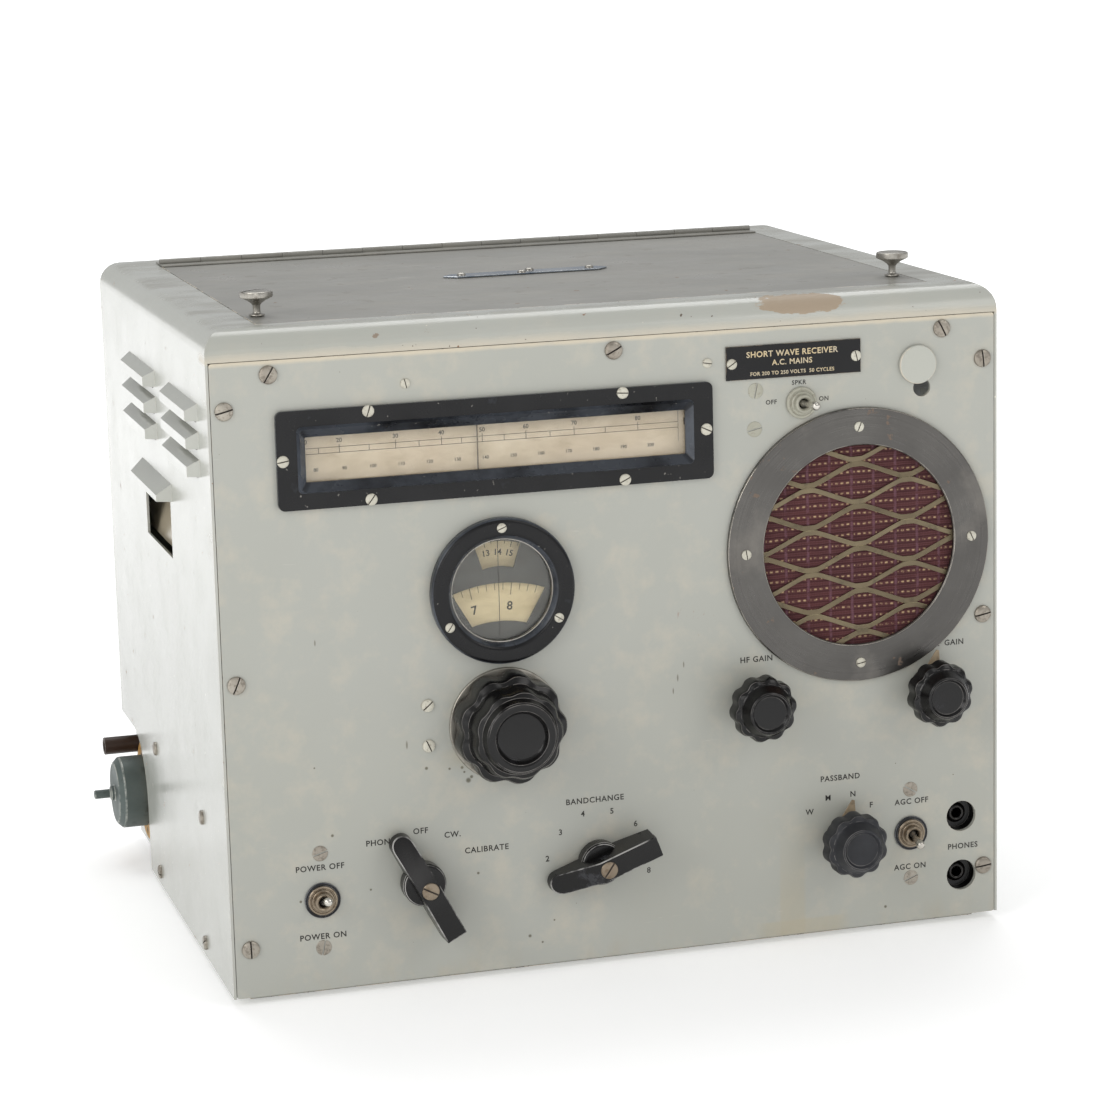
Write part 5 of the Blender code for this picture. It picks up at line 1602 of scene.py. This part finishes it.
clothLow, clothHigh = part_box("speaker_cloth")
clothMid = (clothLow + clothHigh) / 2
cloth = {"radius": 65.7, "thick": 0.45, "rings": 5}
fabric = lathe(
    "speakerCloth",
    [(0, 0)] + [(cloth["radius"] * i / cloth["rings"], 0.0) for i in range(1, cloth["rings"] + 1)],
    64,
)
for vertex in fabric.data.vertices:  # a slight slackness between the rim and the middle
    reach = math.hypot(vertex.co.x, vertex.co.y) / (cloth["radius"] * mm)
    vertex.co.z = 0.12 * mm * math.sin(5 * vertex.co.x / (20 * mm)) * (1 - reach)
wall = fabric.modifiers.new("wall", "SOLIDIFY")
wall.thickness = cloth["thick"] * mm
wall.offset = 0
pick(fabric)
bpy.ops.object.modifier_apply(modifier=wall.name)
smooth(fabric)
stand(fabric, clothMid)
deliver(fabric, "cabinet", "cloth", finishes["speakerWeave"], "speaker_cloth")
for nodeName, name, slot, finish in (
    ("speaker_basket", "speakerBasket", "inner_steel", "darkSteel"),
    ("speaker_cone", "speakerCone", "paper", "conePaper"),
    ("speaker_magnet", "speakerMagnet", "inner_steel", "darkSteel"),
):
    deliver(skinOf(nodeName, name, 0.3 * mm, 1), "cabinet", slot, finishes[finish], nodeName)
print("loudspeaker ready")


# tuning knob and small knobs
def lobed(piece, lobes, bands):
    # bands: (from radius, to radius, depth as part of the radius)
    for vertex in piece.data.vertices:
        x, y = vertex.co.x, vertex.co.y
        reach = math.hypot(x, y) / mm
        for low, high, depth in bands:
            if low < reach <= high:
                wave = (0.5 - 0.5 * math.cos(lobes * math.atan2(y, x))) ** 1.6
                vertex.co.x = x * (1 - depth * wave)
                vertex.co.y = y * (1 - depth * wave)
                break


backProfile = [
    (5.2, 0.3), (35, 0.3), (35, 1.5), (34.6, 1.95), (33.6, 2), (31.5, 1.85), (5.2, 1.7), (5.2, 0.3),
]
tuneFace = Vector((tune.x, front, tune.z))
backPlate = turnedPart("tuningBackplate", backProfile, tuneFace, 96, 0.1, 25)
deliver(backPlate, "cabinet", "nickel", finishes["backplateMetal"], "tuning_backplate")

tuningProfile = [
    (0, 3), (33, 3), (34.2, 4.2), (34.2, 16.6), (33.2, 19.2), (30.6, 20.2), (29.2, 21), (28.4, 23),
    (27.7, 30.6), (26.4, 32.8), (23.4, 33.6), (22.7, 35), (21.6, 38), (20.6, 38.8), (18.4, 39),
    (16.4, 38.5), (15.5, 37.2), (14.6, 35.6), (13.6, 35), (0, 34.7),
]
tuningKnob = lathe("tuningKnob", tuningProfile, 180)
lobed(tuningKnob, 9, [(29.9, 40, 0.085), (24.5, 29.9, 0.055)])
easeEdges(tuningKnob, 0.24 * mm, 2, 30)
stand(tuningKnob, tuneFace)
deliver(tuningKnob, "tuning", "bakelite", finishes["bakelite"], "tuning_knob")
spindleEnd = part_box("tuning_knob")[1].y
spindle = drum(
    "tuningSpindle",
    3 * mm,
    spindleEnd - front + 4 * mm,
    (tune.x, (spindleEnd + front - 4 * mm) / 2, tune.z),
    sides=24,
)
easeEdges(spindle, 0.4 * mm)
deliver(spindle, "tuning", "brass", finishes["brass"])

smallProfile = [
    (0, 4.4), (12.6, 4.4), (13, 4.8), (13, 17.4), (19.4, 17.4), (20.5, 18.4), (20.4, 26.4),
    (19.6, 28.4), (18.2, 29.2), (16.6, 29.6), (15.8, 30.4), (13.6, 35.4), (12.9, 36.6), (11.9, 37),
    (11.3, 36.6), (10.7, 35.6), (10.2, 35.2), (0, 34.9),
]
smallKnobs = {
    # name, the node it turns, turn of the lobes, pointer tilt clockwise, finish
    "hf_gain_knob": ("hfGainKnob", "hf_gain_pot", 0.10, None, "bakelite"),
    "lf_gain_knob": ("lfGainKnob", "lf_gain_pot", 0.22, 15, "bakelite"),
    "passband_knob": ("passbandKnob", "passband_switch", 0.31, 15, "dustyBakelite"),
}
pointer = {"half": 9, "tip": 0.9, "reach": 24, "thick": 0.8, "height": 4.4}
for nodeName, (name, turned, turn, tilt, finish) in smallKnobs.items():
    low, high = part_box(nodeName)
    spot = Vector((midOf(turned).x, front, midOf(turned).z))
    knob = lathe(name, smallProfile, 120)
    lobed(knob, 10, [(17.4, 30, 0.085)])
    easeEdges(knob, 0.2 * mm, 2, 28)
    knob.rotation_euler = (0, 0, turn)
    settle(knob)
    stand(knob, spot)
    deliver(knob, nodeName, "bakelite", finishes[finish], nodeName)
    pin = drum(
        name + "Spindle",
        2.9 * mm,
        high.y - front + 5 * mm,
        (spot.x, (high.y + front - 5 * mm) / 2, spot.z),
        sides=24,
    )
    easeEdges(pin, 0.3 * mm)
    deliver(pin, nodeName, "brass", finishes["brass"])
    if tilt:
        wedge = plate(
            name + "Pointer",
            (2 * pointer["half"] * mm, pointer["reach"] * mm, pointer["thick"] * mm),
            (0, pointer["reach"] / 2 * mm, (pointer["height"]) * mm),
        )
        choose(wedge, "FACE", lambda c, n: n.y > 0.9)
        bpy.ops.transform.resize(value=(pointer["tip"] / pointer["half"], 1, 1))
        leave()
        easeEdges(wedge, 0.12 * mm, 1)
        wedge.rotation_euler = (0, 0, -math.radians(tilt))
        settle(wedge)
        stand(wedge, spot)
        deliver(wedge, nodeName, "brass", finishes["pointerPlate"])
print("round knobs ready")

# bar knobs
bar = {
    "reach": 35, "width": 14, "top": 26, "foot": 4, "crest": 4, "tip": 10.3, "tail": 9, "hub": 13.4,
    "narrow": 0.94, "round": 6.6, "screw": 1.38,  # the screw's size is a multiple of the small one
}


def barKnob(name, nodeName, switchName, angle):
    spot = Vector((midOf(switchName).x, front, midOf(switchName).z))
    reach = bar["reach"] * mm
    piece = plate(
        name,
        (2 * reach, bar["width"] * mm, (bar["top"] - bar["foot"]) * mm),
        (0, 0, (bar["top"] + bar["foot"]) / 2 * mm),
    )
    for place in (bar["crest"], -bar["hub"]):
        pick(piece)
        bpy.ops.object.mode_set(mode="EDIT")
        bpy.ops.mesh.select_all(action="SELECT")
        bpy.ops.mesh.bisect(plane_co=(place * mm, 0, 0), plane_no=(1, 0, 0))
        leave()
    roundCorners(piece, bar["round"] * mm, 6, lambda a, b: min(a.x, b.x) > 34 * mm and abs(a.z - b.z) > mm)
    fall = (bar["top"] - bar["tip"]) / (bar["reach"] - bar["crest"])
    for vertex in piece.data.vertices:  # the pointing half slopes down, the tail is cut away beneath
        x, z = vertex.co.x / mm, vertex.co.z / mm
        if z > 20 and x > bar["crest"]:
            vertex.co.z = (bar["top"] - fall * (x - bar["crest"])) * mm
        if z < 6 and x < -20:
            vertex.co.z = bar["tail"] * mm
        if z > 20:
            vertex.co.y *= bar["narrow"]
            vertex.co.x *= 0.985
    easeEdges(piece, 0.6 * mm, 3, 28)
    hub = lathe(
        name + "Hub",
        [(0, 3), (12.8, 3), (13.4, 3.6), (13.4, 11.4), (12.6, 12.7), (11, 13.2), (0, 13.4)],
        64,
    )
    easeEdges(hub, 0.3 * mm, 2, 28)
    spin = copyOf(masters["cream"])
    spin.scale = (bar["screw"], bar["screw"], 0.5)
    spin.rotation_euler = (0, 0, 0.6)
    spin.location = (0, 0, bar["top"] * mm)
    settle(spin)
    pin = lathe(name + "Spindle", [(0, -17), (2.6, -17), (2.9, -16.6), (2.9, 5), (0, 5)], 24)
    smooth(pin)
    parts = (
        (name, piece, "bakelite", "barBakelite", [nodeName]),
        (name + "Hub", hub, "bakelite", "barBakelite", []),
        (name + "Screw", spin, "brass", "brass", []),
        (name + "Spindle", pin, "brass", "brass", []),
    )
    for partName, part, slot, finish, stands in parts:
        part.rotation_euler = (0, 0, math.radians(angle))
        settle(part)
        stand(part, spot)
        part.name = partName
        deliver(part, nodeName, slot, finishes[finish], *stands)


barKnob("functionKnob", "function_knob", "function_switch", 117)
barKnob("bandchangeKnob", "bandchange_knob", "bandchange_switch", 200)
print("bar knobs ready")

# toggle switches, jacks and small trim
bushProfile = [
    (3.3, -3), (3.3, 5.6), (3.9, 6.6), (4.6, 7), (5.3, 6.8), (5.8, 6.1), (5.8, 2.2), (5.0, 2.0),
    (5.0, -3), (3.3, -3),
]
nutProfiles = {
    "black": [
        (5.0, 0.3), (11, 0.3), (11, 1.2), (10.7, 1.5), (9.4, 1.6), (9.2, 1.4), (5.0, 1.4), (5.0, 0.3),
    ],
    "brass": [
        (5.0, 1.3), (9.1, 1.3), (9.1, 1.9), (8.7, 2.3), (7.9, 2.4), (7.6, 2.0), (7.2, 2.0), (7.0, 3.0),
        (6.5, 3.4), (5.0, 3.4), (5.0, 1.3),
    ],
    "painted": [
        (5.0, 0.3), (9.8, 0.3), (9.8, 1.5), (9.3, 2.1), (8.2, 2.3), (7.9, 2.0), (7.4, 2.0), (7.2, 3.4),
        (6.6, 3.9), (5.0, 3.9), (5.0, 0.3),
    ],
}
leverProfile = [
    (0, -2.3), (1.6, -1.7), (2.2, -0.6), (2.2, 0.4), (1.6, 1.6), (1.45, 2.6), (1.8, 6), (2.4, 10.6),
    (2.7, 12.4), (2.6, 13.6), (2.1, 14.5), (1.2, 14.9), (0, 15),
]
lean = math.tan(math.radians(16))
toggles = {
    # how the lever leans in x and z, and whether the nut is painted
    "power": (0, lean, False), "agc": (0, -lean, False), "speaker": (lean, 0, True),
}
for word, (leanX, leanZ, painted) in toggles.items():
    body = word + "_switch_body"
    spot = Vector((midOf(body).x, front, midOf(body).z))
    if painted:
        nut = turnedPart(word + "Nut", nutProfiles["painted"], spot, 48, 0.12, 25)
        deliver(nut, "cabinet", "grey_paint", finishes["creamNut"])
    else:
        seat = turnedPart(word + "Seat", nutProfiles["black"], spot, 48, 0.12, 25)
        deliver(seat, "cabinet", "black_paint", finishes["blackEnamel"])
        nut = turnedPart(word + "Nut", nutProfiles["brass"], spot, 48, 0.1, 25)
        deliver(nut, "cabinet", "brass", finishes["brass"])
    bush = turnedPart(word + "Bush", bushProfile, spot, 48, 0.1, 25)
    deliver(bush, "cabinet", "brass", finishes["creamNut" if painted else "brass"])
    inside = turnedPart(
        word + "SwitchBody",
        [(0, -27.3), (8.6, -27.3), (9, -26.9), (9, -3.4), (4.9, -3.4), (4.9, -2.2), (0, -2.2)],
        spot,
        32,
        0.3,
        40,
    )
    deliver(inside, "cabinet", "inner_steel", finishes["darkSteel"], body)
    lever = lathe(word + "Lever", leverProfile, 40)
    smooth(lever, 60)
    aim = Vector((leanX, -1, leanZ)).to_track_quat("Z", "Y").to_euler()
    stand(lever, spot + Vector((0, -4 * mm, 0)), aim)
    deliver(lever, word + "_lever", "nickel", finishes["brightNickel"], word + "_lever")

jackProfile = [
    (3.3, -33.3), (7, -33.3), (7, -11.4), (11.4, -11.2), (11.4, -4.8), (12.9, -4.8), (12.9, -3.3),
    (9.9, -3.3), (9.6, -3.8), (9.4, -9.2), (6.6, -9.6), (6.2, -8.6), (5.5, -7.6), (4.2, -7.2),
    (3.3, -7.6), (3.3, -33.3),
]
for word in ("upper", "lower"):
    nodeName = "phone_jack_" + word
    spot = Vector((midOf(nodeName).x, front, midOf(nodeName).z))
    jack = turnedPart("phoneJack" + word.title(), jackProfile, spot, 64, 0.12, 40)
    deliver(jack, "cabinet", "bakelite", finishes["jackBakelite"], nodeName)

plateLow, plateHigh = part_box("nameplate")
nameplate = plate("namePlate", plateHigh - plateLow, (plateLow + plateHigh) / 2)
easeEdges(nameplate, 0.15 * mm, 2)
deliver(nameplate, "cabinet", "black_paint", finishes["plateBlack"], "nameplate")
plateLines = [
    # text, height, and how far above the middle, in millimetres
    ("SHORT WAVE RECEIVER", 3.5, 4.6),
    ("A.C. MAINS", 3.3, -0.9),
    ("FOR 200 TO 250 VOLTS  50 CYCLES", 2.2, -7.2),
]
plateMid = (plateLow + plateHigh) / 2
words = []
for text, height, z in plateLines:
    spot = (plateMid.x - 1 * mm, plateLow.y - 0.02 * mm, plateMid.z + z * mm)
    words.append(lettering(text, height, spot, wide=1.1))
deliver(join("plateLettering", words), "cabinet", "black_paint", finishes["plateGilt"])

coverMid = midOf("cover_disc")
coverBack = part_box("cover_disc")[0].y
cover = lathe("coverDisc", [(0, 0), (12, 0), (12, 1.6), (11.7, 2.1), (11, 2.4), (0, 2.55)], 64)
easeEdges(cover, 0.2 * mm, 2, 28)
stand(cover, (coverMid.x, coverBack + 2.55 * mm, coverMid.z))
deliver(cover, "cover_disc", "grey_paint", finishes["coverPaint"], "cover_disc")
print("switches and trim ready")

# connectors
connectors = {
    # name, body, slot, finish, edge in millimetres, bevel steps
    "connector_plate": ("connectorPlate", "cabinet", "grey_paint", "casePaint", 0.3, 2),
    "mains_socket": ("mainsSocket", "cabinet", "yellow_paint", "yellowPaint", 0.6, 3),
    "mains_plug": ("mainsPlug", "mains_plug", "grey_plug", "plugCasting", 0.8, 3),
    "aerial_terminal": ("aerialTerminal", "cabinet", "brown_moulding", "brownMoulding", 0.5, 2),
}
for nodeName, (name, body, slot, finish, edge, steps) in connectors.items():
    deliver(skinOf(nodeName, name, edge * mm, steps), body, slot, finishes[finish], nodeName)

# chassis and what stands on it
inner = {
    # name, body, slot, finish, edge in millimetres
    "chassis_tray": ("chassisTray", "cabinet", "aluminium", "chassisAluminium", 0.5),
    "tuning_gearbox": ("tuningGearbox", "cabinet", "aluminium", "chassisAluminium", 0.5),
    "capacitor_frame": ("capacitorFrame", "cabinet", "aluminium", "chassisAluminium", 0.3),
    "capacitor_rotor": ("capacitorRotor", "capacitor_rotor", "aluminium", "brass", 0.12),
    "mains_transformer": ("mainsTransformer", "cabinet", "inner_steel", "darkSteel", 0.8),
    "if_can": ("intermediateCan", "cabinet", "aluminium", "chassisAluminium", 1.0),
    "valve_1": ("valveFirst", "cabinet", "glass", "valveGlass", 0.4),
    "valve_2": ("valveSecond", "cabinet", "glass", "valveGlass", 0.4),
    "hf_gain_pot": ("hfGainPot", "cabinet", "aluminium", "darkSteel", 0.4),
    "lf_gain_pot": ("lfGainPot", "cabinet", "aluminium", "darkSteel", 0.4),
    "passband_switch": ("passbandSwitch", "cabinet", "aluminium", "darkSteel", 0.4),
    "function_switch": ("functionSwitch", "cabinet", "aluminium", "darkSteel", 0.4),
    "bandchange_switch": ("bandchangeSwitch", "cabinet", "aluminium", "darkSteel", 0.4),
}
for nodeName, (name, body, slot, finish, edge) in inner.items():
    skin = skinOf(nodeName, name, edge * mm)
    deliver(skin, body, slot, finishes[finish], nodeName)
print("chassis ready")

for master in masters.values():
    bpy.data.objects.remove(master)


print("done")
